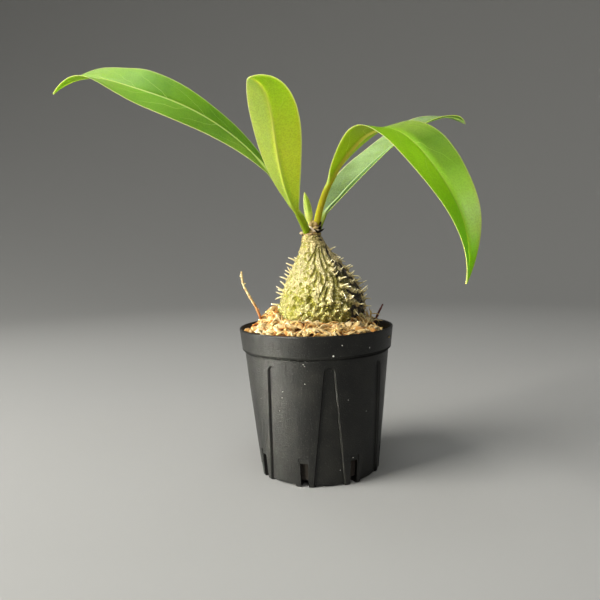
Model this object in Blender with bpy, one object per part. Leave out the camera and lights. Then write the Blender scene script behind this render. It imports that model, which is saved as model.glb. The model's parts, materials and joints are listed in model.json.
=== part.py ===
# Potted ant plant: black nursery pot, plug of dried sphagnum, spiny caudex, short stem and leaves.
# Sizes are in millimetres here and are scaled to metres as each mesh is made.
# The origin is the centre of the pot's underside; the photo's camera looks along +Y.

import math
import random

import bpy
import bmesh
from mathutils import Vector, noise

MM = 0.001
GAP = 0.3  # clearance between pieces that touch

# pot: blow-thin tapered cup with a rim band
POT_HEIGHT = 71.0
RIM_TOP_RADIUS = 37.5
RIM_FOOT_RADIUS = 36.4
RIM_FOOT = 60.5
WALL_TOP_RADIUS = 35.3
FOOT_RADIUS = 29.6
WALL = 1.6
RIM_WALL = 1.1
FLOOR_TOP = 2.4
PAD_RADIUS = 12.0  # flat middle of the underside
CHANNEL_RADIUS = 21.0  # the ring round it is raised by CHANNEL_DEPTH
CHANNEL_DEPTH = 0.9
POT_STEPS = 56

PANELS = 8
PANEL_TURN = 8.6  # degrees from the camera's side towards +X
PANEL_APEX = 56.2
PANEL_TOP_WIDTH = 4.6
PANEL_FOOT_WIDTH = 14.3
PANEL_DEPTH = 0.8
PANEL_LIFT = 0.7  # lower edge of a panel above the feet

SLIT_WIDTH = 3.6
SLIT_TOP = 11.5
SLIT_INNER = 23.5
DIMPLE_WIDTH = 5.2
DIMPLE_TOP = 14.0
DIMPLE_DEPTH = 0.45

# moss: height of its surface at the wall, and the mound round the caudex
MOSS_STEPS = 60
MOSS_WALL_FRONT = 69.9
MOSS_WALL_BACK = 65.8
MOSS_INNER_HEIGHT = 73.2
MOSS_INNER_RADIUS = 20.0
MOSS_STRANDS = 40

# caudex: radius and sideways lean of its middle at equal steps of height
CAUDEX_FOOT = 61.0
CAUDEX_TOP = 115.0
CAUDEX_RADII = (14.0, 18.2, 20.2, 20.9, 19.8, 17.5, 14.1, 10.3, 6.8, 4.7)
CAUDEX_LEAN = (1.2, 1.5, 1.7, 2.7, 3.4, 3.0, 2.4, 1.3, 0.1, -1.0)
CAUDEX_STEPS = 84
CAUDEX_ROWS = 24
RIBS = 20
RIB_HEIGHT = 0.7
TUBERCLE_HEIGHT = 1.05
SPINES = 66

# stem: short woody neck between the caudex and the leaves
STEM_FOOT = CAUDEX_TOP + GAP
STEM_TOP = 121.6
STEM_RADII = (4.6, 4.3, 3.7, 3.3, 3.2, 2.0)
STEM_LEAN = (-1.0, -0.9, -0.7, -0.5, -0.4, -0.4)
STEM_STEPS = 20

BLADE = 0.6  # thickness of the leaf blades

# Each leaf follows headings (turn from +X, rise above level and roll about its own run) that are
# given at six equal steps from base to tip. widen and taper shape the outline.
LEAVES = {
    "leaf_left": {
        "base": (-2.7, 2.5, 119.6), "length": 169.0, "width": 20.8, "petiole": 0.16,
        "widen": 0.97, "taper": 0.51, "fold": 18.0, "drip": 0.7,
        "turn": (174.5, 174.0, 171.5, 168.5, 159.5, 171.0),
        "rise": (61.0, 50.5, 35.5, 22.0, 15.5, -35.0),
        "roll": (-67.0, -92.0, -104.0, -76.5, -31.5, -13.5),
        "colour": (0.10, 0.23, 0.035),
    },
    "leaf_front": {
        "base": (-3.4, -2.7, 116.5), "length": 92.0, "width": 21.9, "petiole": 0.12,
        "widen": 1.15, "taper": 0.77, "fold": 13.0, "drip": 0.0,
        "turn": (252.5, 248.0, 255.0, 264.0, 261.5, 241.5),
        "rise": (38.5, 39.5, 49.5, 49.0, 29.5, -2.0),
        "roll": (9.0, 1.5, -7.0, -11.5, -2.5, 8.5),
        "colour": (0.27, 0.38, 0.05),
    },
    "leaf_right": {
        "base": (1.3, -2.1, 121.4), "length": 152.0, "width": 24.9, "petiole": 0.12,
        "widen": 1.05, "taper": 0.82, "fold": 9.0, "drip": 0.0,
        "turn": (-37.5, -51.5, -66.0, -59.5, -43.5, -36.0),
        "rise": (74.0, 41.0, 1.0, -37.5, -62.5, -103.5),
        "roll": (4.0, 9.0, 6.5, 9.5, 13.0, -5.0),
        "colour": (0.12, 0.27, 0.03),
    },
    "leaf_back": {
        "base": (2.8, 1.9, 119.2), "length": 134.0, "width": 23.7, "petiole": 0.10,
        "widen": 0.80, "taper": 0.80, "fold": 7.0, "drip": 0.0,
        "turn": (48.0, 38.5, 34.5, 35.5, 39.0, 40.5),
        "rise": (62.0, 41.0, 34.5, 28.5, 12.0, -16.5),
        "roll": (30.0, 14.0, 3.5, 2.5, 9.0, 5.5),
        "colour": (0.20, 0.32, 0.11),
    },
    "young_leaf": {
        "base": (-1.3, -1.3, 121.2), "length": 15.0, "width": 4.9, "petiole": 0.05,
        "widen": 0.60, "taper": 0.85, "fold": 34.0, "drip": 0.0,
        "turn": (215.0, 210.0, 205.0, 200.0, 190.0, 185.0),
        "rise": (84.0, 84.0, 82.0, 79.0, 76.0, 72.0),
        "roll": (0.0, 0.0, 0.0, 0.0, 0.0, 0.0),
        "colour": (0.26, 0.42, 0.07),
    },
}
LEAF_ROWS = 22
PETIOLE_HALF = 1.45
RIB_THICK = 2.6  # thickness of the midrib where it leaves the stem

# curled stalk on the left and dark twig on the right, with their radii from foot to tip
STALK_PATH = ((-26.2, -1.0, 70.5), (-27.6, -1.5, 76.5), (-29.6, -2.0, 81.5), (-32.4, -2.0, 86.5),
              (-34.8, -1.0, 91.0), (-35.9, 1.0, 94.8), (-36.3, 3.0, 98.4))
STALK_RADII = (0.60, 0.42)
TWIG_PATH = ((27.6, -0.6, 66.5), (28.7, -0.3, 71.2), (30.6, 0.2, 75.6), (33.2, 0.4, 80.6))
TWIG_RADII = (0.50, 0.34)


def smooth(values, s):
    """Value at share s of a smooth curve through values at equal steps."""
    last = len(values) - 1
    x = min(max(s, 0.0), 1.0) * last
    i = min(int(x), last - 1)
    t = x - i
    b, c = values[i], values[i + 1]
    a = values[i - 1] if i else 2 * b - c
    d = values[i + 2] if i + 2 <= last else 2 * c - b
    return 0.5 * (2 * b + (c - a) * t + (2 * a - 5 * b + 4 * c - d) * t * t + (3 * b - a - 3 * c + d) * t ** 3)


def ramp(low, high, x):
    t = min(max((x - low) / (high - low), 0.0), 1.0)
    return t * t * (3 - 2 * t)


def make_material(name, colour, roughness, metallic=0.0):
    mat = bpy.data.materials.new(name)
    mat.use_nodes = True
    bsdf = mat.node_tree.nodes["Principled BSDF"]
    bsdf.inputs["Base Color"].default_value = (*colour, 1.0)
    bsdf.inputs["Roughness"].default_value = roughness
    bsdf.inputs["Metallic"].default_value = metallic
    mat.diffuse_color = (*colour, 1.0)
    return mat


def add_object(name, bm, mat=None, collection=None):
    bmesh.ops.scale(bm, vec=(MM, MM, MM), verts=bm.verts)
    bmesh.ops.recalc_face_normals(bm, faces=bm.faces)
    mesh = bpy.data.meshes.new(name)
    bm.to_mesh(mesh)
    bm.free()
    mesh.shade_smooth()
    mesh.set_sharp_from_angle(angle=math.radians(40))
    obj = bpy.data.objects.new(name, mesh)
    (collection or bpy.context.scene.collection).objects.link(obj)
    if mat:
        mesh.materials.append(mat)
    return obj


def new_collection(name):
    group = bpy.data.collections.new(name)
    bpy.context.scene.collection.children.link(group)
    return group


def hide_cutters(group):
    for cutter in group.objects:
        cutter.hide_render = True
        cutter.display_type = "WIRE"


def boolean(obj, group, operation, solver="EXACT"):
    mod = obj.modifiers.new(operation.lower(), "BOOLEAN")
    mod.operation = operation
    mod.operand_type = "COLLECTION"
    mod.collection = group
    mod.solver = solver
    return mod


def apply_and_clear(obj, groups):
    """Makes the modifiers' result the object's own mesh and removes the helper objects."""
    graph = bpy.context.evaluated_depsgraph_get()
    mesh = bpy.data.meshes.new_from_object(obj.evaluated_get(graph))
    obj.modifiers.clear()
    obj.data = mesh
    for group in groups:
        for helper in list(group.objects):
            bpy.data.objects.remove(helper, do_unlink=True)
        bpy.data.collections.remove(group)


def keep_main_shell(obj):
    """Fills hollows that the union sealed and drops loose scraps: only the largest shell stays."""
    bm = bmesh.new()
    bm.from_mesh(obj.data)
    left, shells = set(bm.verts), []
    while left:
        shell, queue = set(), [next(iter(left))]
        while queue:
            vert = queue.pop()
            if vert in shell:
                continue
            shell.add(vert)
            queue.extend(edge.other_vert(vert) for edge in vert.link_edges)
        left -= shell
        shells.append(shell)
    main = max(shells, key=len)
    bmesh.ops.delete(bm, geom=[v for v in bm.verts if v not in main], context="VERTS")
    bm.to_mesh(obj.data)
    bm.free()


def spun(profile, steps):
    """Closed body turned from a profile of (radius, height) about the upright axis."""
    bm = bmesh.new()
    verts = [bm.verts.new((r, 0.0, z)) for r, z in profile]
    edges = [bm.edges.new(pair) for pair in zip(verts, verts[1:])]
    bmesh.ops.spin(bm, geom=verts + edges, axis=(0, 0, 1), cent=(0, 0, 0),
                   angle=2 * math.pi, steps=steps, use_merge=True)
    bmesh.ops.remove_doubles(bm, verts=bm.verts, dist=1e-4)
    return bm


def ring_loft(rings):
    """Closed body over rings of equal count; the first and last rings are capped."""
    bm = bmesh.new()
    loops = [[bm.verts.new(p) for p in ring] for ring in rings]
    count = len(rings[0])
    for low, high in zip(loops, loops[1:]):
        for i in range(count):
            j = (i + 1) % count
            bm.faces.new((low[i], low[j], high[j], high[i]))
    bm.faces.new(loops[0][::-1])
    bm.faces.new(loops[-1])
    return bm


def outer_radius(z):
    """Outside of the pot's wall under the rim band."""
    return FOOT_RADIUS + (WALL_TOP_RADIUS - FOOT_RADIUS) * z / RIM_FOOT


def inner_radius(z):
    """Inside of the pot at height z."""
    if z < RIM_FOOT:
        return outer_radius(z) - WALL
    return WALL_TOP_RADIUS - WALL + (RIM_TOP_RADIUS - RIM_WALL - WALL_TOP_RADIUS + WALL) * ramp(
        RIM_FOOT, RIM_FOOT + 3.0, z)


def at_angle(degrees, radius, z, aside=0.0):
    """Point at an angle from the camera's side towards +X, shifted aside along the tangent."""
    a = math.radians(degrees)
    return (radius * math.sin(a) + aside * math.cos(a), -radius * math.cos(a) + aside * math.sin(a), z)


def panel_half_width(z):
    """Half width of a recessed panel: wide at the foot, with a round top."""
    straight = PANEL_TOP_WIDTH / 2 + (PANEL_FOOT_WIDTH - PANEL_TOP_WIDTH) / 2 * (1 - z / PANEL_APEX)
    down = PANEL_APEX - z
    cap = PANEL_TOP_WIDTH / 2
    if down < cap:
        return straight * math.sqrt(max(1 - (1 - down / cap) ** 2, 0.03))
    return straight


def panel_cutter(turn, group):
    columns = 6
    heights = [-1.0, 28.0, PANEL_APEX - PANEL_TOP_WIDTH / 2, PANEL_APEX - 1.3, PANEL_APEX - 0.5, PANEL_APEX]
    rings = []
    for z in heights:
        half, ring = panel_half_width(max(z, 0.0)), []
        deep, out = outer_radius(z) - PANEL_DEPTH, outer_radius(z) + 2.5
        for reach, order in ((deep, 1), (out, -1)):
            for c in range(columns + 1):
                share = order * (2 * c / columns - 1)
                angle = turn + math.degrees(half * share / outer_radius(z))
                ring.append(at_angle(angle, reach, z))
        rings.append(ring)
    add_object("cut_panel", ring_loft(rings), None, group)
    # lifts the panel's lower edge clear of the feet
    bm = ring_loft([[at_angle(turn, r, z, a) for r, a in ((26.0, -6.4), (36.0, -6.4), (36.0, 6.4), (26.0, 6.4))]
                    for z in (-1.5, PANEL_LIFT)])
    add_object("cut_panel_foot", bm, None, group)


def block_cutter(name, turn, near, far, half, low, high, group):
    corners = ((near, -half), (far, -half), (far, half), (near, half))
    add_object(name, ring_loft([[at_angle(turn, r, z, a) for r, a in corners] for z in (low, high)]), None, group)


def make_pot():
    floor_inner = inner_radius(FLOOR_TOP)
    profile = [
        (0.0, 0.0), (PAD_RADIUS, 0.0), (PAD_RADIUS + 0.9, CHANNEL_DEPTH), (CHANNEL_RADIUS, CHANNEL_DEPTH),
        (CHANNEL_RADIUS + 0.9, 0.0), (FOOT_RADIUS - 0.5, 0.0), (outer_radius(0.5), 0.5),
        (WALL_TOP_RADIUS, RIM_FOOT), (RIM_FOOT_RADIUS - 0.15, RIM_FOOT + 0.05),
        (RIM_FOOT_RADIUS + 0.05, RIM_FOOT + 0.35), (RIM_TOP_RADIUS, POT_HEIGHT - 0.55),
        (RIM_TOP_RADIUS - 0.18, POT_HEIGHT - 0.12), (RIM_TOP_RADIUS - 0.55, POT_HEIGHT),
        (RIM_TOP_RADIUS - 0.92, POT_HEIGHT - 0.12), (RIM_TOP_RADIUS - RIM_WALL, POT_HEIGHT - 0.55),
        (inner_radius(RIM_FOOT + 3.0), RIM_FOOT + 3.0), (inner_radius(RIM_FOOT), RIM_FOOT),
        (floor_inner, FLOOR_TOP + 0.6), (floor_inner - 0.6, FLOOR_TOP), (0.0, FLOOR_TOP),
    ]
    bm = spun(profile, POT_STEPS)
    pot = add_object("pot", bm, make_material("black_polypropylene", (0.022, 0.023, 0.024), 0.5))
    panels, slits, dimples = (new_collection(n) for n in ("cut_panels", "cut_slits", "cut_dimples"))
    for k in range(PANELS):
        turn = PANEL_TURN + 360 / PANELS * k
        panel_cutter(turn, panels)
        between = turn + 180 / PANELS
        block_cutter("cut_slit", between, SLIT_INNER, 36.0, SLIT_WIDTH / 2, -1.0, SLIT_TOP, slits)
        block_cutter("cut_dimple", between, outer_radius(12.5) - DIMPLE_DEPTH, 36.0, DIMPLE_WIDTH / 2,
                     SLIT_TOP - 1.2, DIMPLE_TOP, dimples)
    for group in (panels, slits, dimples):
        hide_cutters(group)
        boolean(pot, group, "DIFFERENCE")
    return pot


def caudex_middle(z):
    return smooth(CAUDEX_LEAN, (z - CAUDEX_FOOT) / (CAUDEX_TOP - CAUDEX_FOOT))


def caudex_radius(z):
    return smooth(CAUDEX_RADII, (z - CAUDEX_FOOT) / (CAUDEX_TOP - CAUDEX_FOOT))


def moss_height(x, y):
    """Height of the moss surface without its strands."""
    r = math.hypot(x, y)
    back = 0.5 + 0.5 * y / max(r, 1.0)
    wall = MOSS_WALL_FRONT + (MOSS_WALL_BACK - MOSS_WALL_FRONT) * ramp(0.25, 0.85, back)
    inward = 1 - ramp(MOSS_INNER_RADIUS, 35.5, r)
    height = wall + (MOSS_INNER_HEIGHT - wall) * inward
    height += 7.2 * math.exp(-((x + 22.5) / 7.0) ** 2 - ((y - 1.0) / 9.0) ** 2)
    height += 1.6 * math.exp(-((x + 10.0) / 9.0) ** 2 - ((y + 24.0) / 7.0) ** 2)
    return height


def moss_relief(x, y):
    """Clumps and the run of strands over the moss surface."""
    clump = noise.noise(Vector((x / 5.5, y / 5.5, 3.7)))
    swirl = 2.2 * noise.noise(Vector((x / 14.0, y / 14.0, 9.1)))
    along = x * math.cos(swirl) + y * math.sin(swirl)
    across = y * math.cos(swirl) - x * math.sin(swirl)
    strand = noise.noise(Vector((along / 7.0, across / 1.9, 5.0)))
    return 1.9 * clump + 1.3 * strand


def caudex_relief(turn, z):
    """Wavy ribs that run down from the neck and break up into tubercles lower down."""
    around = Vector((math.cos(turn), math.sin(turn), 0.0))
    waver = noise.noise(around * 1.4 + Vector((2.0, 5.0, z / 11.0)))
    waver += 0.5 * noise.noise(around * 3.5 + Vector((7.0, 1.0, z / 6.0)))
    rib = math.cos(RIBS * turn + 5.5 * waver)
    spot = around * caudex_radius(z)
    knob = noise.noise(Vector((spot.x / 3.3, spot.y / 3.3, z / 4.2)))
    low = 1 - ramp(88.0, 104.0, z)
    high = 1 - ramp(107.0, 113.5, z)
    bare = ramp(70.0, 77.0, z)  # the part down in the moss is plain
    rings = 0.14 * math.cos(4.1 * z) * ramp(108.0, 112.0, z)
    return bare * high * (RIB_HEIGHT * rib * (1 - 0.55 * low) + 2.0 * TUBERCLE_HEIGHT * knob * low) + rings


def caudex_point(turn, z, lift=0.0):
    radius = caudex_radius(z) + caudex_relief(turn, z) + lift
    return Vector((caudex_middle(z) + radius * math.cos(turn), radius * math.sin(turn), z))


def make_caudex():
    rings = []
    for row in range(CAUDEX_ROWS + 1):
        share = row / CAUDEX_ROWS
        z = CAUDEX_FOOT + (CAUDEX_TOP - CAUDEX_FOOT) * share ** 0.82
        rings.append([caudex_point(2 * math.pi * i / CAUDEX_STEPS, z) for i in range(CAUDEX_STEPS)])
    body = add_object("caudex", ring_loft(rings), make_material("caudex_bark", (0.46, 0.42, 0.20), 0.75))
    spines = new_collection("caudex_spines")
    rng = random.Random(11)
    for i in range(SPINES):
        z = 76.5 + 30.5 * (i + 0.5) / SPINES
        turn = i * math.pi * (3 - math.sqrt(5)) + rng.uniform(-0.12, 0.12)
        root = caudex_point(turn, z)
        slope = (caudex_radius(z - 1) - caudex_radius(z + 1)) / 2
        out = Vector((math.cos(turn), math.sin(turn), slope)).normalized()
        lean = Vector((rng.uniform(-0.3, 0.3), rng.uniform(-0.3, 0.3), rng.uniform(-0.1, 0.5)))
        way = (out + lean).normalized()
        length = rng.uniform(2.5, 4.2) * (1.0 - 0.25 * ramp(98.0, 108.0, z))
        if root.z < moss_height(root.x, root.y) + 2.2 or (root + way * length).z < moss_height(
                *(root + way * length).xy) + 1.6:
            continue
        add_spine(root, way, length, spines)
    # the two long ones that meet at the right
    for turn, z, way, length in ((-0.18, 87.6, (1.0, -0.1, 0.45), 5.8), (0.15, 91.4, (1.0, -0.25, -0.12), 5.2)):
        add_spine(caudex_point(turn, z), Vector(way).normalized(), length, spines)
    boolean(body, spines, "UNION", "MANIFOLD")
    apply_and_clear(body, [spines])
    return body


def add_spine(root, way, length, group):
    sunk = 1.2
    bm = bmesh.new()
    bmesh.ops.create_cone(bm, cap_ends=True, segments=4, radius1=0.45, radius2=0.17, depth=length + sunk)
    bmesh.ops.translate(bm, vec=(0, 0, (length - sunk) / 2), verts=bm.verts)
    bmesh.ops.transform(bm, matrix=way.to_track_quat("Z", "Y").to_matrix().to_4x4(), verts=bm.verts)
    bmesh.ops.translate(bm, vec=root, verts=bm.verts)
    add_object("spine", bm, None, group)


def moss_strand(start, heading, length, rng, group):
    """Thin bent strand lying over the moss with both ends sunk in it."""
    x, y = start
    rings, steps = [], 4
    bend = rng.uniform(-0.45, 0.45)
    lift = rng.uniform(0.4, 1.1)
    body = rng.uniform(0.6, 1.05)
    for k in range(steps + 1):
        share = k / steps
        z = moss_height(x, y) + moss_relief(x, y) - 1.5 + (1.5 + lift) * math.sin(math.pi * share)
        ahead = Vector((math.cos(heading), math.sin(heading), 0))
        side, thick = Vector((-ahead.y, ahead.x, 0)), body * (1 - 0.4 * abs(2 * share - 1))
        spot = Vector((x, y, z))
        rings.append([spot - side * thick, spot + side * thick, spot + Vector((0, 0, 1.1 * thick))])
        x += math.cos(heading) * length / steps
        y += math.sin(heading) * length / steps
        heading += bend
    add_object("strand", ring_loft(rings), None, group)


def make_moss():
    foot = FLOOR_TOP + GAP
    profile = [(0.0, foot), (inner_radius(foot) - GAP - 0.8, foot)]
    profile += [(inner_radius(z) - GAP, z) for z in (foot + 0.9, RIM_FOOT - 0.2)]
    profile += [(inner_radius(POT_HEIGHT) - GAP, RIM_FOOT + 3.6)]
    profile += [(r, 70.0) for r in (35.6, 34.4, 32.6, 30.8, 29.0, 27.2, 25.4, 23.6, 21.8, 19.0, 10.0, 0.0)]
    bm = spun(profile, MOSS_STEPS)
    for v in bm.verts:
        if v.co.z > 69.0:
            edge = 1 - ramp(34.0, 35.6, math.hypot(v.co.x, v.co.y))
            v.co.z = moss_height(v.co.x, v.co.y) + moss_relief(v.co.x, v.co.y) * edge
    moss = add_object("moss", bm, make_material("dried_sphagnum", (0.62, 0.50, 0.28), 0.9))
    strands = new_collection("moss_strands")
    rng = random.Random(5)
    for i in range(MOSS_STRANDS):
        a = 2 * math.pi * i / MOSS_STRANDS + rng.uniform(-0.1, 0.1)
        r = rng.uniform(23.5, 31.0)
        heading = a + rng.choice((-1, 1)) * rng.uniform(1.2, 2.0)
        moss_strand((r * math.cos(a), r * math.sin(a)), heading, rng.uniform(6.0, 9.5), rng, strands)
    # frizzy sprig that stands up against the caudex on the right
    for dx, dy, dz, bend in ((0.0, 0.0, 9.5, 0.5), (1.2, -1.4, 7.5, 1.4), (1.6, 1.2, 8.0, -0.8)):
        rings = []
        for k in range(6):
            share = k / 5
            spot = Vector((25.6 + dx + bend * math.sin(3.0 * share), -1.5 + dy + 0.8 * share,
                           moss_height(25.6, -1.5) - 2.0 + (dz + 2.0) * share))
            thick = 0.7 - 0.3 * share
            rings.append([spot + Vector((thick * math.cos(a), thick * math.sin(a), 0))
                          for a in (0.3, 2.4, 4.5)])
        add_object("sprig", ring_loft(rings), None, strands)
    boolean(moss, strands, "UNION", "MANIFOLD")
    holes = new_collection("cut_holes")
    clear = 1.5
    hole = [(0.0, CAUDEX_FOOT - GAP)]
    hole += [(caudex_radius(z) + clear, z) for z in (CAUDEX_FOOT - GAP, 66.0, 70.0, 74.0, 79.0)]
    hole += [(caudex_radius(79.0) + clear, 95.0), (0.0, 95.0)]
    bm = spun(hole, 40)
    for v in bm.verts:
        v.co.x += caudex_middle(min(v.co.z, 79.0))
    add_object("cut_caudex", bm, None, holes)
    for path, radii in ((STALK_PATH, STALK_RADII), (TWIG_PATH, TWIG_RADII)):
        foot_point, ahead = Vector(path[0]), Vector(path[1]) - Vector(path[0])
        bm = bmesh.new()
        bmesh.ops.create_cone(bm, cap_ends=True, segments=8, radius1=radii[0] + GAP + 0.1,
                              radius2=radii[0] + GAP + 0.3, depth=16.0)
        bmesh.ops.translate(bm, vec=(0, 0, 8.0 - GAP), verts=bm.verts)
        bmesh.ops.transform(bm, matrix=ahead.to_track_quat("Z", "Y").to_matrix().to_4x4(), verts=bm.verts)
        bmesh.ops.translate(bm, vec=foot_point, verts=bm.verts)
        add_object("cut_stalk", bm, None, holes)
    boolean(moss, holes, "DIFFERENCE", "MANIFOLD")
    apply_and_clear(moss, [strands, holes])
    keep_main_shell(moss)
    return moss


def stem_body(grow=0.0):
    """Neck with rings of old leaf scars; grow widens it for cutting the leaf bases to fit."""
    rings, rows = [], 12
    if grow:
        for z in (CAUDEX_TOP - 6.0, CAUDEX_TOP - 1.0):
            radius = caudex_radius(z) + 0.3 + grow
            rings.append([Vector((caudex_middle(z) + radius * math.cos(a), radius * math.sin(a), z))
                          for a in (2 * math.pi * i / STEM_STEPS for i in range(STEM_STEPS))])
    for row in range(rows + 1):
        share = row / rows
        z = STEM_FOOT + (STEM_TOP - STEM_FOOT) * share + (grow if row == rows else 0.0)
        scar = 0.22 * math.cos(4.4 * z) * (1 - share)
        radius = smooth(STEM_RADII, share) + scar + grow
        rings.append([Vector((smooth(STEM_LEAN, share) + radius * math.cos(a), radius * math.sin(a), z))
                      for a in (2 * math.pi * i / STEM_STEPS for i in range(STEM_STEPS))])
    return ring_loft(rings)


def make_stem():
    stem = add_object("stem", stem_body(), make_material("young_stem", (0.50, 0.44, 0.30), 0.7))
    points = new_collection("stem_points")
    # dry dark stipule points on the right and front, pale nub on the left
    for spot, way, length in (((2.6, -2.0, 117.6), (0.8, -0.5, 0.15), 2.3), ((0.4, -3.2, 117.4), (-0.1, -0.8, 0.5), 1.7),
                              ((-4.6, -0.6, 116.3), (-0.9, -0.1, 0.15), 1.5), ((-0.6, 3.3, 117.2), (0.1, 0.9, 0.3), 1.6)):
        add_spine(Vector(spot), Vector(way).normalized(), length, points)
    boolean(stem, points, "UNION", "MANIFOLD")
    apply_and_clear(stem, [points])
    return stem


def leaf_course(spec, s):
    """Unit run, side and face directions of the leaf at share s."""
    turn, rise, roll = (math.radians(smooth(spec[key], s)) for key in ("turn", "rise", "roll"))
    run = Vector((math.cos(rise) * math.cos(turn), math.cos(rise) * math.sin(turn), math.sin(rise)))
    level = Vector((-math.sin(turn), math.cos(turn), 0.0))
    up = run.cross(level)
    side = level * math.cos(roll) + up * math.sin(roll)
    return run, side, run.cross(side)


def leaf_half_width(spec, s):
    t = max((s - spec["petiole"]) / (1 - spec["petiole"]), 0.0)
    a, b = spec["widen"], spec["taper"]
    peak = a / (a + b)
    shape = t ** a * (1 - t) ** b / (peak ** a * (1 - peak) ** b)
    petiole = min(PETIOLE_HALF, spec["width"] / 4)
    return max(spec["width"] / 2 * shape * (1 - spec["drip"] * s ** 14), petiole * (1 - math.sqrt(t)), 0.35)


def make_leaf(name, spec, collar):
    """Blade with a fold along the midrib, thicker at the midrib's underside."""
    fold = math.radians(spec["fold"])
    small = spec["length"] < 30
    rows = 12 if small else LEAF_ROWS
    rib_thick = 1.3 if small else RIB_THICK
    spot, fine = Vector(spec["base"]), 6
    root_run = leaf_course(spec, 0.0)[0]
    stations = [(-1.0, spot - root_run * 2.2)]
    for step in range(rows * fine):
        if step % fine == 0:
            stations.append((step / (rows * fine), spot.copy()))
        spot += leaf_course(spec, (step + 0.5) / (rows * fine))[0] * spec["length"] / (rows * fine)
    stations.append((1.0, spot))
    bm = bmesh.new()
    uppers, lowers = [], []
    for s, middle in stations:
        _, side, face = leaf_course(spec, max(s, 0.0))
        half = leaf_half_width(spec, max(s, 0.0))
        rib = BLADE + (rib_thick - BLADE) * (1 - max(s, 0.0)) ** 1.4
        rib_at = min(max(1.1 / half, 0.12), 0.5)
        upper, lower = [], []
        for u in (-1.0, -0.5 - rib_at / 2, -rib_at, 0.0, rib_at, 0.5 + rib_at / 2, 1.0):
            spread = abs(u) ** 1.25
            p = middle + side * (half * u * math.cos(fold)) + face * (half * spread * math.sin(fold))
            thick = rib if u == 0 else (BLADE + (rib - BLADE) * 0.35 if abs(u) == rib_at else BLADE)
            upper.append(bm.verts.new(p))
            lower.append(bm.verts.new(p - face * thick))
        uppers.append(upper)
        lowers.append(lower)
    last = len(uppers[0]) - 1
    for a, b, c, d in zip(uppers, uppers[1:], lowers, lowers[1:]):
        for j in range(last):
            # both faces are split along the same diagonal
            bm.faces.new((a[j], a[j + 1], b[j]))
            bm.faces.new((a[j + 1], b[j + 1], b[j]))
            bm.faces.new((c[j], d[j], c[j + 1]))
            bm.faces.new((c[j + 1], d[j], d[j + 1]))
        bm.faces.new((a[0], b[0], d[0], c[0]))
        bm.faces.new((a[last], c[last], d[last], b[last]))
    bm.faces.new(uppers[0] + lowers[0][::-1])
    bm.faces.new(uppers[-1][::-1] + lowers[-1])
    leaf = add_object(name, bm, make_material(name + "_blade", spec["colour"], 0.4))
    boolean(leaf, collar, "DIFFERENCE", "MANIFOLD")
    return leaf


def tapered_rod(name, path, radii, mat):
    curve = bpy.data.curves.new(name, "CURVE")
    curve.dimensions = "3D"
    curve.bevel_depth = MM
    curve.bevel_resolution = 1
    curve.use_fill_caps = True
    points = 14
    spline = curve.splines.new("POLY")
    spline.points.add(points - 1)
    for k, point in enumerate(spline.points):
        share = k / (points - 1)
        spot = [smooth([p[axis] for p in path], share) * MM for axis in range(3)]
        point.co = (*spot, 1.0)
        point.radius = radii[0] + (radii[1] - radii[0]) * share
    rod = bpy.data.objects.new(name, curve)
    bpy.context.scene.collection.objects.link(rod)
    curve.materials.append(mat)
    return rod


for old in list(bpy.data.objects):
    bpy.data.objects.remove(old, do_unlink=True)

make_pot()
make_moss()
make_caudex()
make_stem()
stem_collar = new_collection("cut_stem")
add_object("cut_collar", stem_body(GAP), None, stem_collar)
hide_cutters(stem_collar)
for leaf_name, leaf_spec in LEAVES.items():
    make_leaf(leaf_name, leaf_spec, stem_collar)
tapered_rod("moss_stalk", STALK_PATH, STALK_RADII, make_material("stalk_straw", (0.55, 0.36, 0.14), 0.7))
tapered_rod("dark_twig", TWIG_PATH, TWIG_RADII, make_material("twig_bark", (0.06, 0.02, 0.015), 0.7))
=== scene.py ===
# Potted ant plant: spiny swollen caudex in dried sphagnum, four strap leaves and a black nursery pot.
# Lengths are in millimetres until a mesh is finished. The camera looks along +Y.

import json
import math
import random

import bmesh
import bpy
from mathutils import Matrix, Vector, kdtree, noise

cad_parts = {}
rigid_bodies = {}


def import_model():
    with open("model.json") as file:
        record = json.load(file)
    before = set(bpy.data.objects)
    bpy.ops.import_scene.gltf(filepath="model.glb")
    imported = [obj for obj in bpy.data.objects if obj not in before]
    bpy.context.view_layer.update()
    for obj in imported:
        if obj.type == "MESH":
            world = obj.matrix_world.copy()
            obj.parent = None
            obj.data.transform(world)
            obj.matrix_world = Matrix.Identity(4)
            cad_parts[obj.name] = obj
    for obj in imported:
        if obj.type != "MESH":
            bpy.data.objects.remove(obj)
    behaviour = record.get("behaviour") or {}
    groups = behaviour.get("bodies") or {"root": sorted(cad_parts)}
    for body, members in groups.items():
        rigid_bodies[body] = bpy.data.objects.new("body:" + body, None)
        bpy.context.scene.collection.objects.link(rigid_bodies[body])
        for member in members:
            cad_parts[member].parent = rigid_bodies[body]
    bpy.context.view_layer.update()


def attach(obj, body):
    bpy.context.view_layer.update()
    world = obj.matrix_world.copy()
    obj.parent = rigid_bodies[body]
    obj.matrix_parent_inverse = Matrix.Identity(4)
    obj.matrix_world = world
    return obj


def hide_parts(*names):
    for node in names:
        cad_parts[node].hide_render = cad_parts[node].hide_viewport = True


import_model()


def ramp(low, high, x):
    t = min(max((x - low) / (high - low), 0.0), 1.0)
    return t * t * (3 - 2 * t)


def smooth(values, share):
    # value at a share of a smooth curve through values at equal steps
    last = len(values) - 1
    x = min(max(share, 0.0), 1.0) * last
    i = min(int(x), last - 1)
    t = x - i
    b, c = values[i], values[i + 1]
    a = values[i - 1] if i else 2 * b - c
    d = values[i + 2] if i + 2 <= last else 2 * c - b
    return 0.5 * (2 * b + (c - a) * t + (2 * a - 5 * b + 4 * c - d) * t * t + (3 * b - a - 3 * c + d) * t ** 3)


def grain(x, y, z):
    return noise.noise(Vector((x, y, z)))


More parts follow.
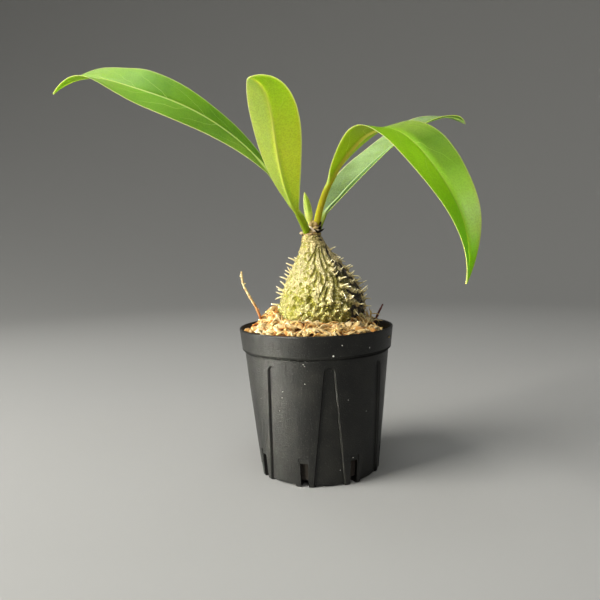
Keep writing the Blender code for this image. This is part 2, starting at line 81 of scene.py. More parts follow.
def newShape(*markNames):
    # an empty mesh with a UV map and one number per point for each mark the material reads
    bm = bmesh.new()
    bm.loops.layers.uv.verify()
    return bm, [bm.verts.layers.float.new(name) for name in markNames]


def wrapGrid(bm, around, along, place, marks, weld=0.004):
    # lays a flat grid over a shape: place(u, v) gives each point and its marks, and the seam is merged
    made = bmesh.ops.create_grid(bm, x_segments=around, y_segments=along, size=1.0, calc_uvs=True)["verts"]
    for vert in made:
        spot, values = place((vert.co.x + 1) / 2, (vert.co.y + 1) / 2)
        vert.co = spot
        for mark, value in zip(marks, values):
            vert[mark] = value
    bmesh.ops.remove_doubles(bm, verts=made, dist=weld)


def wrapTube(bm, path, radii, sides, marks, values=(), flat=1.0, facing=(0, 0, 1), twist=0.0, cup=0.0):
    # tapered tube along a path; values may hold "along", which becomes the share of the way to the tip
    last = len(path) - 1

    def place(u, v):
        k = round(v * last)
        share = k / last
        given = [share if value == "along" else value for value in values]
        run = (path[min(k + 1, last)] - path[max(k - 1, 0)]).normalized()
        side = run.cross(Vector(facing)).normalized()
        over = side.cross(run)
        angle = 2 * math.pi * u
        a, b = math.cos(angle) * radii[k], math.sin(angle) * radii[k] * flat
        b += cup * a * a
        turned = twist * share
        return (path[k] + side * (a * math.cos(turned) - b * math.sin(turned))
                + over * (a * math.sin(turned) + b * math.cos(turned))), given

    wrapGrid(bm, sides, last, place, marks, 0.0015)


def spinProfile(profile, steps, weld):
    # turns a line of (radius, height) points once round the axis
    bm = bmesh.new()
    verts = [bm.verts.new((r, 0.0, z)) for r, z in profile]
    edges = [bm.edges.new(pair) for pair in zip(verts, verts[1:])]
    bmesh.ops.spin(bm, geom=verts + edges, axis=(0, 0, 1), cent=(0, 0, 0),
                   angle=2 * math.pi, steps=steps, use_merge=True)
    bmesh.ops.remove_doubles(bm, verts=bm.verts, dist=weld)
    return bm


def meshObject(name, bm, group):
    # from millimetres to metres, with the faces outwards
    bmesh.ops.scale(bm, vec=(0.001, 0.001, 0.001), verts=bm.verts)
    bmesh.ops.recalc_face_normals(bm, faces=bm.faces)
    mesh = bpy.data.meshes.new(name)
    bm.to_mesh(mesh)
    bm.free()
    made = bpy.data.objects.new(name, mesh)
    group.objects.link(made)
    return made


def finishPiece(name, bm, material, stands=()):
    # the roots of spines and nubs are closed inside the body that they grow from
    bmesh.ops.holes_fill(bm, edges=[edge for edge in bm.edges if edge.is_boundary])
    piece = meshObject(name, bm, bpy.context.scene.collection)
    mesh = piece.data
    mesh.shade_smooth()
    mesh.materials.append(material)
    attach(piece, "root")
    if stands:
        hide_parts(*stands)
    print("made", name, "with", len(mesh.polygons), "faces")
    return piece


def hexColour(text):
    shades = [int(text[i:i + 2], 16) / 255 for i in (1, 3, 5)]
    return (*(c / 12.92 if c <= 0.04045 else ((c + 0.055) / 1.055) ** 2.4 for c in shades), 1.0)


def plug(tree, node, inputs):
    # inputs are a dictionary by socket, or values in the order of the sockets
    for socket, value in inputs.items() if isinstance(inputs, dict) else enumerate(inputs):
        if isinstance(value, bpy.types.NodeSocket):
            tree.links.new(value, node.inputs[socket])
        else:
            node.inputs[socket].default_value = hexColour(value) if isinstance(value, str) else value


# settings of a mix of colours, which takes its share, and the colours at 0 and at 1, in sockets 0, 6 and 7
colourMix = {"data_type": "RGBA", "out": 2}


def addNode(tree, kind, inputs=(), out=0, stops=(), **settings):
    # a map range takes value, from low, from high, to low and to high
    node = tree.nodes.new("ShaderNode" + kind)
    for name, value in settings.items():
        setattr(node, name, value)
    for _ in stops[2:]:
        node.color_ramp.elements.new(1.0)
    for i, (position, colour) in enumerate(stops):
        stop = node.color_ramp.elements[i]
        stop.position = position
        stop.color = hexColour(colour) if isinstance(colour, str) else (colour,) * 3 + (1.0,)
    plug(tree, node, inputs)
    return node.outputs[out]


def newMaterial(name, settings):
    # gives the tree, its shader and the object's own coordinates in millimetres
    material = bpy.data.materials.new(name)
    material.use_nodes = True
    tree = material.node_tree
    shader = tree.nodes["Principled BSDF"]
    plug(tree, shader, settings)
    metres = addNode(tree, "TexCoord", out="Object")
    spot = addNode(tree, "Mapping", {"Vector": metres, "Scale": (1000, 1000, 1000)})
    return material, tree, shader, spot


potShape = {
    "height": 71.0, "rimTop": 37.5, "rimFootRadius": 36.4, "rimFoot": 60.5, "wallTop": 35.3, "foot": 29.6,
    "wall": 1.6, "rimWall": 1.1, "floorTop": 2.4, "pad": 12.0, "channel": 21.0, "channelDepth": 0.9,
    "underRim": 1.1, "underRimDepth": 0.35, "steps": 192, "panels": 8, "panelTurn": 9.0, "panelApex": 56.2,
    "panelTopWidth": 3.8, "panelFootWidth": 14.5, "panelDepth": 1.05, "panelSlope": 0.45, "panelLift": 0.7,
    "slitWidth": 3.6, "slitTop": 11.5, "slitInner": 23.5, "dimpleWidth": 5.2, "dimpleTop": 14.0,
    "dimpleDepth": 0.45, "dimpleLap": 1.2, "liftWidth": 12.8, "liftInner": 26.0, "pastWall": 36.0,
    "black": "#0c0c0b", "haze": "#292924", "chalk": "#6a6a60",
}


def outerRadius(z):
    return potShape["foot"] + (potShape["wallTop"] - potShape["foot"]) * z / potShape["rimFoot"]


def innerRadius(z):
    low = outerRadius(min(z, potShape["rimFoot"])) - potShape["wall"]
    high = potShape["rimTop"] - potShape["rimWall"]
    return low + (high - low) * ramp(potShape["rimFoot"], potShape["rimFoot"] + 3.0, z)


def matteBlackPolypropylene():
    # injection-moulded polypropylene with a fine spark-eroded grain: the eye gets a wide dull sheen on the
    # side of the light, near black elsewhere, and a little pale dust that clings to the grain
    material, tree, shader, spot = newMaterial("matte_black_polypropylene", {
        "IOR": 1.49, "Specular IOR Level": 0.36})
    # the real grain is about 0.1 mm and is drawn at 0.45 mm so that it shows
    pits = addNode(tree, "TexNoise", {"Vector": spot, "Scale": 2.0, "Detail": 2.0, "Roughness": 0.6})
    clouds = addNode(tree, "TexNoise", {"Vector": spot, "Scale": 0.09, "Detail": 4.0})
    fleck = addNode(tree, "TexVoronoi", {"Vector": spot, "Scale": 0.9})
    pale = addNode(tree, "MapRange", (fleck, 0.06, 0.16, 0.5, 0.0))
    haze = addNode(tree, "MapRange", (clouds, 0.42, 0.72, 0.0, 0.45))
    dusty = addNode(tree, "Mix", {0: haze, 6: potShape["black"], 7: potShape["haze"]}, **colourMix)
    colour = addNode(tree, "Mix", {0: pale, 6: dusty, 7: potShape["chalk"]}, **colourMix)
    rough = addNode(tree, "MapRange", (clouds, 0.0, 1.0, 0.34, 0.44))
    # the corner under the rim is never rubbed and gets no light, so it stays dull
    height = addNode(tree, "SeparateXYZ", (spot,), out="Z")
    fromCorner = addNode(tree, "Math", (height, potShape["rimFoot"]), operation="SUBTRACT")
    away = addNode(tree, "Math", (fromCorner,), operation="ABSOLUTE")
    dull = addNode(tree, "MapRange", (away, potShape["underRim"] * 0.55, potShape["underRim"], 1.0, rough))
    bump = addNode(tree, "Bump", {"Height": pits, "Strength": 1.0, "Distance": 0.0002})
    plug(tree, shader, {"Base Color": colour, "Roughness": dull, "Normal": bump})
    return material


def panelCutter(turn, group):
    # a strip curved like the wall, narrow and round at its top, pulled outwards into a block with sloped sides
    bm = bmesh.new()
    columns, rows = 10, 26
    bmesh.ops.create_grid(bm, x_segments=columns, y_segments=rows, size=1.0)
    acrossMark, upMark = (bm.verts.layers.float.new(name) for name in ("acrossPanel", "upPanel"))
    for vert in bm.verts:
        vert[acrossMark], vert[upMark] = vert.co.x, (vert.co.y + 1) / 2
    bmesh.ops.extrude_face_region(bm, geom=bm.faces[:])
    reach = 2.6  # how far the block stands out of the recess
    for i, vert in enumerate(bm.verts):
        outwards = reach if i >= (columns + 1) * (rows + 1) else 0.0
        wider = outwards / potShape["panelDepth"] * potShape["panelSlope"]
        apex, cap = potShape["panelApex"] + wider, potShape["panelTopWidth"] / 2 + wider
        across, v = vert[acrossMark], vert[upMark]
        # the lower half of the rows makes the straight part, and the rest crowd towards the round top
        z = (apex - cap + 1.0) * min(v / 0.5, 1.0) - 1.0
        z += cap * math.sin(math.pi / 2 * max(v - 0.5, 0.0) / 0.5)
        half = cap + (potShape["panelFootWidth"] - potShape["panelTopWidth"]) / 2 * (1 - max(z, 0.0) / apex)
        half *= math.sqrt(max(1 - (max(z - apex + cap, 0.0) / cap) ** 2, 0.0004))
        radius = outerRadius(z) - potShape["panelDepth"] + outwards
        angle = half * across / outerRadius(z)
        vert.co = (radius * math.sin(angle), -radius * math.cos(angle), z)
    bmesh.ops.rotate(bm, verts=bm.verts, cent=(0, 0, 0), matrix=Matrix.Rotation(math.radians(turn), 3, "Z"))
    meshObject("cutPanel", bm, group)


def blockCutter(turn, near, far, width, low, high, group):
    bm = bmesh.new()
    bmesh.ops.create_cube(bm, size=1.0)
    bmesh.ops.scale(bm, vec=(width, far - near, high - low), verts=bm.verts)
    bmesh.ops.translate(bm, vec=(0, -(near + far) / 2, (low + high) / 2), verts=bm.verts)
    bmesh.ops.rotate(bm, verts=bm.verts, cent=(0, 0, 0), matrix=Matrix.Rotation(math.radians(turn), 3, "Z"))
    meshObject("cutBlock", bm, group)


def makePot():
    p = potShape
    inner = innerRadius(p["floorTop"])
    top, rim, rimLow, corner = p["height"], p["rimTop"], p["rimFoot"], p["rimFootRadius"]
    tucked = p["wallTop"] - p["underRimDepth"]
    # from the middle of the underside up the outside, over the rim and down to the middle of the floor
    bm = spinProfile([
        (0.0, 0.0), (p["pad"], 0.0), (p["pad"] + 0.9, p["channelDepth"]), (p["channel"], p["channelDepth"]),
        (p["channel"] + 0.9, 0.0), (p["foot"] - 0.5, 0.0), (outerRadius(0.5), 0.5),
        (outerRadius(rimLow - p["underRim"]), rimLow - p["underRim"]), (tucked, rimLow - 0.5), (tucked, rimLow),
        (corner - 0.3, rimLow + 0.02), (corner - 0.05, rimLow + 0.14), (corner + 0.05, rimLow + 0.45),
        (corner + 0.09, rimLow + 0.8), (rim - 0.04, top - 0.95), (rim, top - 0.6), (rim - 0.05, top - 0.3),
        (rim - 0.2, top - 0.09), (rim - 0.55, top), (rim - 0.9, top - 0.09), (rim - p["rimWall"], top - 0.45),
        (innerRadius(rimLow + 3.0), rimLow + 3.0), (innerRadius(rimLow), rimLow),
        (inner, p["floorTop"] + 0.6), (inner - 0.6, p["floorTop"]), (0.0, p["floorTop"])], p["steps"], 1e-4)
    group = bpy.data.collections.new("potCutters")
    bpy.context.scene.collection.children.link(group)
    blank = meshObject("potBlank", bm, bpy.context.scene.collection)
    for k in range(p["panels"]):
        turn = p["panelTurn"] + 360 / p["panels"] * k
        between = turn + 180 / p["panels"]
        panelCutter(turn, group)
        blockCutter(turn, p["liftInner"], p["pastWall"], p["liftWidth"], -1.5, p["panelLift"], group)
        blockCutter(between, p["slitInner"], p["pastWall"], p["slitWidth"], -1.0, p["slitTop"], group)
        blockCutter(between, outerRadius(12.5) - p["dimpleDepth"], p["pastWall"], p["dimpleWidth"],
                    p["slitTop"] - p["dimpleLap"], p["dimpleTop"], group)
    cut = blank.modifiers.new("cut", "BOOLEAN")
    cut.operation, cut.operand_type, cut.collection, cut.solver = "DIFFERENCE", "COLLECTION", group, "EXACT"
    cutMesh = bpy.data.meshes.new_from_object(blank.evaluated_get(bpy.context.evaluated_depsgraph_get()))
    bm = bmesh.new()
    bm.from_mesh(cutMesh)
    for helper in list(group.objects) + [blank]:
        bpy.data.objects.remove(helper, do_unlink=True)
    bpy.data.collections.remove(group)
    bmesh.ops.scale(bm, vec=(1000, 1000, 1000), verts=bm.verts)
    bmesh.ops.dissolve_degenerate(bm, dist=0.004, edges=bm.edges)
    # below the rim the outer edges of the panels shade round, and the rest stays crisp
    for edge in bm.edges:
        limit = 40
        if max(vert.co.z for vert in edge.verts) < p["rimFoot"] - 0.1:
            limit = 75 if edge.is_convex else 15
        edge.smooth = edge.calc_face_angle(0.0) < math.radians(limit)
    pot = finishPiece("nursery_pot", bm, matteBlackPolypropylene(), ["pot"])
    # the wall and the panels shade as true cones, so that no facet shows in the sheen
    slope = Vector((0.0, 0.0, (p["wallTop"] - p["foot"]) / p["rimFoot"]))
    normals = []
    for face in pot.data.polygons:
        middle = Vector((face.center.x, face.center.y, 0.0)).normalized() - slope
        onCone = face.normal.angle(middle) < math.radians(4) and face.center.z < (p["rimFoot"] - 1) / 1000
        for i in face.vertices:
            spot = pot.data.vertices[i].co
            level = Vector((spot.x, spot.y, 0.0)).normalized()
            normals.append((level - slope).normalized() if onCone else Vector((0, 0, 0)))
    pot.data.normals_split_custom_set(normals)


mossShape = {
    "wallFront": 69.9, "wallBack": 65.8, "inner": 73.2, "innerRadius": 20.0,
    "branchlets": 310, "branchletLong": (5.0, 11.5), "branchletWide": (0.55, 1.15),
    "flakes": 150, "flakeLong": (5.0, 9.0), "flakeWide": (1.2, 2.0), "broadFlakeWide": (2.1, 3.4),
    "stems": 90, "stemLong": (8, 15), "stemThick": (0.22, 0.42), "fibrils": 130, "fibrilLong": (2.0, 4.2),
    "sprigFibres": 22, "sprigPlace": (25.4, -1.5), "sprigLong": (6.0, 14.0), "sprigThick": (0.2, 0.55),
    "edge": 34.9, "seed": 5,
    "bed": ((0.0, "#3a210b"), (0.35, "#855822"), (0.6, "#bb8c4a"), (1.0, "#dcc086")),
    "cream": ((0.0, "#7a3c12"), (0.18, "#c07a30"), (0.38, "#bd8d48"), (0.62, "#d0b070"), (1.0, "#e2ce9e")),
}


def mossTop(x, y):
    r = math.hypot(x, y)
    back = 0.5 + 0.5 * y / max(r, 1.0)
    wall = mossShape["wallFront"] + (mossShape["wallBack"] - mossShape["wallFront"]) * ramp(0.25, 0.85, back)
    inward = 1 - ramp(mossShape["innerRadius"], 35.5, r)
    height = wall + (mossShape["inner"] - wall) * inward
    height += 5.2 * math.exp(-((x + 21.5) / 7.0) ** 2 - ((y - 1.0) / 9.0) ** 2)
    height += 1.6 * math.exp(-((x + 10.0) / 9.0) ** 2 - ((y + 24.0) / 7.0) ** 2)
    # pressed up against the caudex at the left and front
    height += 1.9 * math.exp(-((x + 16.5) / 4.5) ** 2 - ((y + 5.0) / 9.0) ** 2)
    # sunk at both sides, where the pot's inner wall shows
    height -= 4.5 * ramp(27.0, 33.5, x) + 3.2 * ramp(-27.5, -33.0, x) * ramp(-15.0, -5.0, y)
    return height


def mossRelief(x, y):
    clump = grain(x / 5.5, y / 5.5, 3.7)
    swirl = 2.2 * grain(x / 14.0, y / 14.0, 9.1)
    ahead = x * math.cos(swirl) + y * math.sin(swirl)
    across = y * math.cos(swirl) - x * math.sin(swirl)
    strand = grain(ahead / 7.0, across / 1.9, 5.0)
    fine = grain(ahead / 2.6, across / 0.8, 1.0)
    return 1.9 * clump + 1.3 * strand + 0.7 * fine


def driedSphagnum(name, shades, spacing):
    # dried long-fibre sphagnum: papery, matte, cream where the branches are clean and rusty where they are
    # old, each branch scaled with tiny overlapping leaves, so light breaks up into small pale flecks
    material, tree, shader, spot = newMaterial(name, {
        "Roughness": 0.85, "Specular IOR Level": 0.3, "Sheen Weight": 0.15,
        "Subsurface Radius": (0.0012, 0.0008, 0.0004), "Subsurface Weight": 0.12, "Subsurface Scale": 1.0})
    tint = addNode(tree, "Attribute", out="Fac", attribute_name="tint")
    patch = addNode(tree, "TexNoise", {"Vector": spot, "Scale": 0.42, "Detail": 3.0})
    mixed = addNode(tree, "Math", (patch, 0.55, -0.28), operation="MULTIPLY_ADD")
    shade = addNode(tree, "Math", (tint, mixed), operation="ADD", use_clamp=True)
    colour = addNode(tree, "ValToRGB", (shade,), stops=shades)
    # scale leaves of the branchlets, 0.6 to 0.8 mm
    scales = addNode(tree, "TexVoronoi", {"Vector": spot, "Scale": 1 / spacing})
    dark = addNode(tree, "MapRange", (scales, 0.3, 0.9, 0.0, 0.16))
    scaled = addNode(tree, "Mix", {0: dark, 6: colour, 7: "#a3763c"}, **colourMix)
    # deep in the pot it is old and wet, and painted shade takes it nearly to black
    height = addNode(tree, "SeparateXYZ", (spot,), out="Z")
    deep = addNode(tree, "MapRange", (height, 64.0, 50.0, 0.0, 0.96))
    shaded = addNode(tree, "Mix", {0: deep, 6: scaled, 7: "#14100b"}, **colourMix)
    bump = addNode(tree, "Bump", {"Height": scales, "Strength": 0.4, "Distance": 0.0002}, invert=True)
    plug(tree, shader, {"Base Color": shaded, "Normal": bump})
    return material


def onMoss(x, y):
    # keeps a point between the caudex and the pot, and gives the moss height there
    reach, edge = math.hypot(x, y), mossShape["edge"]
    if reach > edge:
        x, y = x * edge / reach, y * edge / reach
    middle = caudexMiddle(73.0)
    away, least = math.hypot(x - middle, y), caudexRadius(73.0) - 0.4
    if away < least:
        x, y = middle + (x - middle) * least / away, y * least / away
    return x, y, mossTop(x, y) + 0.8 * mossRelief(x, y)


def mossSpot(rng, near, far):
    angle, reach = rng.uniform(0, 2 * math.pi), math.sqrt(rng.uniform(near ** 2, far ** 2))
    return angle, reach * math.cos(angle), reach * math.sin(angle)


def strandPath(x, y, heading, length, bend, arch, steps, sink=0.5):
    path = []
    for k in range(steps + 1):
        share = k / steps
        px, py, z = onMoss(x, y)
        path.append(Vector((px, py, z - sink + (arch + sink) * math.sin(math.pi * share))))
        x += math.cos(heading) * length / steps
        y += math.sin(heading) * length / steps
        heading += bend / steps
    return path


def makeMoss():
    m = mossShape
    rng = random.Random(m["seed"])
    foot = potShape["floorTop"] + 0.3
    # the plug that fills the pot, its top pressed into runs of strands
    bm, marks = newShape("tint")
    side = [(0.0, foot), (innerRadius(foot) - 1.0, foot)]
    side += [(innerRadius(z) - 0.3, z) for z in (foot + 0.9, 20.0, 40.0, 60.0, 64.0)]
    around, rows = 220, 96

    def placePlug(u, v):
        k = round(v * rows) - len(side)
        angle = 2 * math.pi * u
        r, z = side[k] if k < 0 else (36.0 * (1 - k / (rows - len(side))) ** 0.9, 0.0)
        x, y = r * math.cos(angle), r * math.sin(angle)
        if k >= 0:
            z = mossTop(x, y) + mossRelief(x, y) * (1 - ramp(34.0, 36.0, r)) - 0.9
        return Vector((x, y, z)), (0.22 + 0.35 * grain(x / 3.0, y / 3.0, z / 3.0),)

    wrapGrid(bm, around, rows, placePlug, marks)
    finishPiece("moss_plug", bm, driedSphagnum("damp_sphagnum_painted_shade", m["bed"], 1.1), ["moss"])

    # branchlets, papery flakes, bare rusty stems and fine fibrils lying over it
    bm, marks = newShape("tint")
    for i in range(m["branchlets"] + m["flakes"]):
        angle, x, y = mossSpot(rng, 19.0, 34.8)
        heading = angle + rng.choice((-1, 1)) * rng.gauss(1.5, 0.55)
        flake = i >= m["branchlets"]
        broad = flake and i % 3 == 0
        length = rng.uniform(*m["flakeLong" if flake else "branchletLong"])
        wide = rng.uniform(*m["broadFlakeWide" if broad else "flakeWide" if flake else "branchletWide"])
        bend, arch = rng.gauss(0, 1.3), rng.uniform(0.9, 2.0 if flake else 1.7)
        radii = [wide * math.sin(math.pi * (0.14 + 0.76 * k / 6)) * rng.uniform(0.8, 1.15) for k in range(1, 6)]
        # rusty in the heap at the left, bleached in front of it
        tint = rng.gauss(0.73, 0.18) - 0.34 * math.exp(-((x + 22) / 8) ** 2) * ramp(-18.0, -7.0, y)
        facing = (rng.gauss(0, 0.45), rng.gauss(0, 0.45), 1.0)
        wrapTube(bm, strandPath(x, y, heading, length, bend, arch, 6), [0.0] + radii + [0.0], 6, marks,
                 (min(max(tint, 0.05), 1.0),), flat=0.16 if flake else 0.55, facing=facing,
                 twist=rng.gauss(0, 1.0 if flake else 1.5), cup=rng.uniform(-0.3, 0.05) if flake else 0.0)
    print("laid branchlets and flakes")
    for i in range(m["stems"]):
        angle, x, y = mossSpot(rng, 19.5, 34.5)
        heading = angle + rng.choice((-1, 1)) * rng.gauss(1.4, 0.6)
        length, bend, arch = rng.uniform(*m["stemLong"]), rng.gauss(0, 1.8), rng.uniform(0.9, 2.4)
        path = strandPath(x, y, heading, length, bend, arch, 8)
        thick = rng.uniform(*m["stemThick"])
        wrapTube(bm, path, [0.0] + [thick] * 7 + [0.0], 5, marks, (rng.uniform(0.15, 0.75),))
    for i in range(m["fibrils"]):
        _, x, y = mossSpot(rng, 19.5, 34.5)
        x, y, z = onMoss(x, y)
        way = Vector((rng.gauss(0, 1), rng.gauss(0, 1), rng.uniform(0.3, 1.3))).normalized()
        length, curl = rng.uniform(*m["fibrilLong"]), rng.gauss(0, 0.9)
        path = [Vector((x, y, z - 0.6))]
        for k in range(5):
            path.append(path[-1] + way * length / 5)
            way = (Matrix.Rotation(curl / 5, 3, "Y") @ way + Vector((0, 0, -0.12))).normalized()
        wrapTube(bm, path, [0.0, 0.16, 0.15, 0.13, 0.1, 0.0], 4, marks, (rng.uniform(0.15, 0.9),),
                 facing=(0.2, 1.0, 0.1))
    # frizzy sprig that stands up against the caudex on the right
    sprigX, sprigY = m["sprigPlace"]
    for i in range(m["sprigFibres"]):
        x, y = sprigX + rng.gauss(0, 1.0), sprigY + rng.gauss(0, 1.6)
        way, curl = Vector((rng.gauss(0.12, 0.3), rng.gauss(0, 0.3), 1.0)).normalized(), rng.gauss(0, 2.2)
        path, length = [Vector((x, y, mossTop(x, y) - 1.0))], rng.uniform(*m["sprigLong"])
        for k in range(7):
            path.append(path[-1] + way * length / 7)
            way = (Matrix.Rotation(curl / 7, 3, rng.choice("XY")) @ way).normalized()
        thick = rng.uniform(*m["sprigThick"])
        wrapTube(bm, path, [0.0] + [thick * (1 - 0.09 * k) for k in range(6)] + [0.0], 5, marks,
                 (rng.uniform(0.3, 1.0),), flat=0.6, facing=(0.1, 1.0, 0.1), twist=rng.gauss(0, 2.0))
    # the undersides of the strands are rusty and in shade
    for vert in bm.verts:
        x, y, z = vert.co
        vert[marks[0]] *= 0.3 + 0.7 * ramp(-0.5, 0.9, z - mossTop(x, y) - 0.8 * mossRelief(x, y))
    finishPiece("moss_strands", bm, driedSphagnum("dried_sphagnum", m["cream"], 0.75))


caudexShape = {
    "foot": 61.0, "top": 115.0, "ribs": 30, "ribWave": 7.5,
    "radii": (14.0, 18.2, 20.2, 20.9, 19.8, 17.5, 14.1, 10.3, 6.8, 4.7),
    "lean": (1.2, 1.5, 1.7, 2.7, 3.4, 3.0, 2.4, 1.3, 0.1, -1.0),
    "around": 400, "along": 205, "sunk": 8.0, "looseSpines": 170, "seed": 11,
}

# furrows on the front as (turn in degrees, height) points; each line is one furrow from the neck down
deepFurrows = (
    ((-72, 110.6), (-90, 107.1), (-105, 104.3), (-114, 101.6), (-114, 99.7)),
    ((-79, 108.0), (-92, 105.1), (-97, 102.2), (-96, 99.7), (-101, 97.3), (-107, 95.5)),
    ((-70, 109.0), (-78, 104.9), (-79, 102.1), (-79, 99.6), (-77, 97.1), (-78, 94.7), (-82, 91.7),
     (-88, 89.4), (-93, 87.1), (-94, 85.0)),
    ((-55, 109.4), (-63, 107.0), (-67, 103.9), (-68, 101.1), (-58, 100.0), (-50, 99.6)),
    ((-75, 98.6), (-67, 96.4), (-66, 94.0), (-68, 91.6), (-72, 88.6), (-73, 86.2)),
    ((-93, 98.4), (-95, 95.4), (-100, 93.1), (-101, 91.0)),
    ((-28, 109.2), (-46, 105.7), (-48, 103.1), (-45, 101.0)),
    ((-61, 97.6), (-58, 95.4), (-60, 92.6), (-63, 90.4)),
    ((-81, 90.2), (-85, 87.9), (-87, 85.6), (-84, 83.6)),
    ((-47, 100.1), (-46, 97.7), (-50, 95.0), (-56, 92.3)),
    ((-88, 97.0), (-87, 94.4), (-89, 92.0)),
    ((-108, 89.8), (-107, 88.2), (-108, 86.4)),
)
# open green pits: turn, height, radius
greenPits = (
    (-115, 97.5, 0.9), (-116, 94.6, 1.0), (-111, 91.0, 1.0), (-108, 85.6, 1.3), (-119, 84.1, 1.1),
    (-102, 82.9, 1.3), (-129, 81.5, 1.2), (-129, 78.2, 1.3), (-93, 80.5, 1.2), (-124, 92.2, 0.8),
    (-132, 85.8, 1.0), (-86, 81.6, 0.9), (-74, 82.6, 0.8), (-141, 88.0, 0.9), (-136, 90.4, 0.7),
    (-114, 78.6, 1.0), (-122, 88.0, 0.8), (-103, 77.6, 1.1), (-84, 77.0, 1.0), (-69, 78.4, 1.0),
)


def caudexMiddle(z):
    return smooth(caudexShape["lean"], (z - caudexShape["foot"]) / (caudexShape["top"] - caudexShape["foot"]))


def caudexRadius(z):
    return smooth(caudexShape["radii"], (z - caudexShape["foot"]) / (caudexShape["top"] - caudexShape["foot"]))


def plainSpot(turn, z):
    radius = caudexRadius(z)
    return Vector((radius * math.cos(turn), radius * math.sin(turn), z))


def nearestTree(spots):
    tree = kdtree.KDTree(len(spots))
    for i, spot in enumerate(spots):
        tree.insert(spot, i)
    tree.balance()
    return tree


def pebble(x, y, z, size):
    # round beads with creases between them, from about -0.5 to 0.42
    return 0.42 - 1.3 * noise.voronoi(Vector((x / size, y / size, z / size)))[0][0] ** 2


def furrowSpots():
    spots = []
    for line in deepFurrows:
        for (turn, z), (nextTurn, nextZ) in zip(line, line[1:]):
            for k in range(10):
                bend = 0.12 * math.sin(k * 0.7 + turn)
                spots.append(plainSpot(math.radians(turn + (nextTurn - turn) * k / 10 + 6 * bend / 10),
                                       z + (nextZ - z) * k / 10 + bend))
    return spots


# spines seen in the photo's view: turn in degrees from +X, height of root, rise, length, sideways lean
profileSpines = (
    (190, 103.1, 0.63, 4.2, -0.05), (189, 100.5, 0.38, 4.3, -0.06), (192, 98.0, 1.20, 3.2, 0.0),
    (193, 95.6, 0.75, 2.8, -0.05), (189, 94.0, 0.62, 4.6, -0.05), (183, 91.2, 0.86, 3.6, 0.0),
    (190, 88.6, 0.12, 3.4, -0.07), (186, 88.8, 0.50, 4.2, 0.0), (190, 85.5, -0.24, 3.4, -0.07),
    (186, 81.5, 0.41, 4.2, 0.0), (176, 97.0, 0.5, 3.4, 0.1), (175, 86.6, 0.3, 3.6, 0.1),
    (-13, 107.9, 0.94, 3.8, 0.04), (-59, 102.2, 1.27, 3.6, 0.21), (-54, 101.0, 1.27, 3.4, 0.19),
    (-22, 103.5, 1.39, 2.4, 0.0), (-15, 102.5, 0.95, 3.0, 0.05), (-15, 99.2, 1.23, 3.8, 0.02),
    (-10, 98.3, 1.58, 3.8, 0.0), (-60, 96.4, 0.86, 3.2, 0.45), (-54, 94.4, 0.70, 5.2, 0.41),
    (-22, 95.9, 0.55, 4.0, 0.13), (-58, 91.1, 0.71, 6.2, 0.48), (-31, 92.5, 0.60, 2.8, 0.20),
    (-8, 92.8, 0.79, 2.8, 0.03), (-6, 91.3, -0.13, 5.4, 0.04), (-24, 87.7, 0.66, 6.8, 0.15),
    (-60, 87.8, -0.85, 4.4, 0.45), (-52, 84.9, 0.25, 3.6, 0.53), (-79, 85.4, -0.14, 2.2, 0.9),
    (-42, 78.9, -0.76, 3.6, 0.26), (-26, 76.5, -0.75, 4.4, 0.13), (-37, 82.2, -0.31, 3.6, 0.34),
    (-41, 88.9, 1.1, 1.6, 0.15), (-34, 88.2, 1.1, 1.8, 0.09), (-45, 83.3, 0.6, 1.8, 0.33),
    (-117, 79.1, -1.1, 2.2, 0.6), (-81, 92.2, -0.8, 1.6, -0.6), (-41, 98.6, 1.2, 2.6, 0.10),
    (-60, 98.8, 1.0, 2.2, 0.36), (-48, 90.6, 0.6, 2.4, 0.36), (-49, 86.2, 0.6, 2.4, 0.37),
    (-65, 83.4, 0.7, 2.0, 0.5), (-70, 79.9, 0.7, 1.6, 0.6), (-58, 80.4, 0.3, 2.0, 0.5),
    (-18, 84.6, 0.3, 3.2, 0.1), (-12, 80.4, 0.2, 3.2, 0.0), (-4, 87.0, 0.4, 3.4, 0.1), (2, 83.4, 0.2, 3.4, 0.1),
)


def planSpines():
    # root and way of every spine: turn, height, rise, length, lean, curl, thickness, height of its knob
    rng = random.Random(caudexShape["seed"])
    plan = []
    for turn, z, rise, length, lean in profileSpines:
        knob = 1.25 if -66 < turn < 20 else (0.75 if turn > 90 else 0.45)
        length *= 0.8 if -66 < turn < -20 else 1.0
        curl = rng.choice((-1, 1)) * rng.uniform(0.4, 1.2) if turn < 90 else rng.gauss(0, 0.3)
        plan.append((math.radians(turn), z, rise, length, lean, curl, 0.4 if turn > 90 else 0.34, knob))
    count = caudexShape["looseSpines"]
    for i in range(count):
        z = 74.5 + 32.0 * ((i + 0.5) / count) ** 0.9
        turn = (i * math.pi * (3 - math.sqrt(5)) + rng.uniform(-0.15, 0.15)) % (2 * math.pi)
        front = 0.5 - 0.5 * math.sin(turn + 0.35)  # 1 on the side where the real one is nearly bare
        if front > 0.5:
            continue
        plan.append((turn, z, rng.gauss(0.35, 0.4), rng.uniform(2.0, 4.2) * (1 - 0.3 * ramp(98, 107, z)),
                     rng.gauss(0, 0.35), rng.gauss(0, 0.9), rng.uniform(0.22, 0.34), rng.uniform(0.4, 0.95)))
    return plan


spinePlan = planSpines()
spineTree = nearestTree([plainSpot(spine[0], spine[1]) for spine in spinePlan])
furrowTree = nearestTree(furrowSpots())
pitTree = nearestTree([plainSpot(math.radians(turn), z) for turn, z, _ in greenPits])


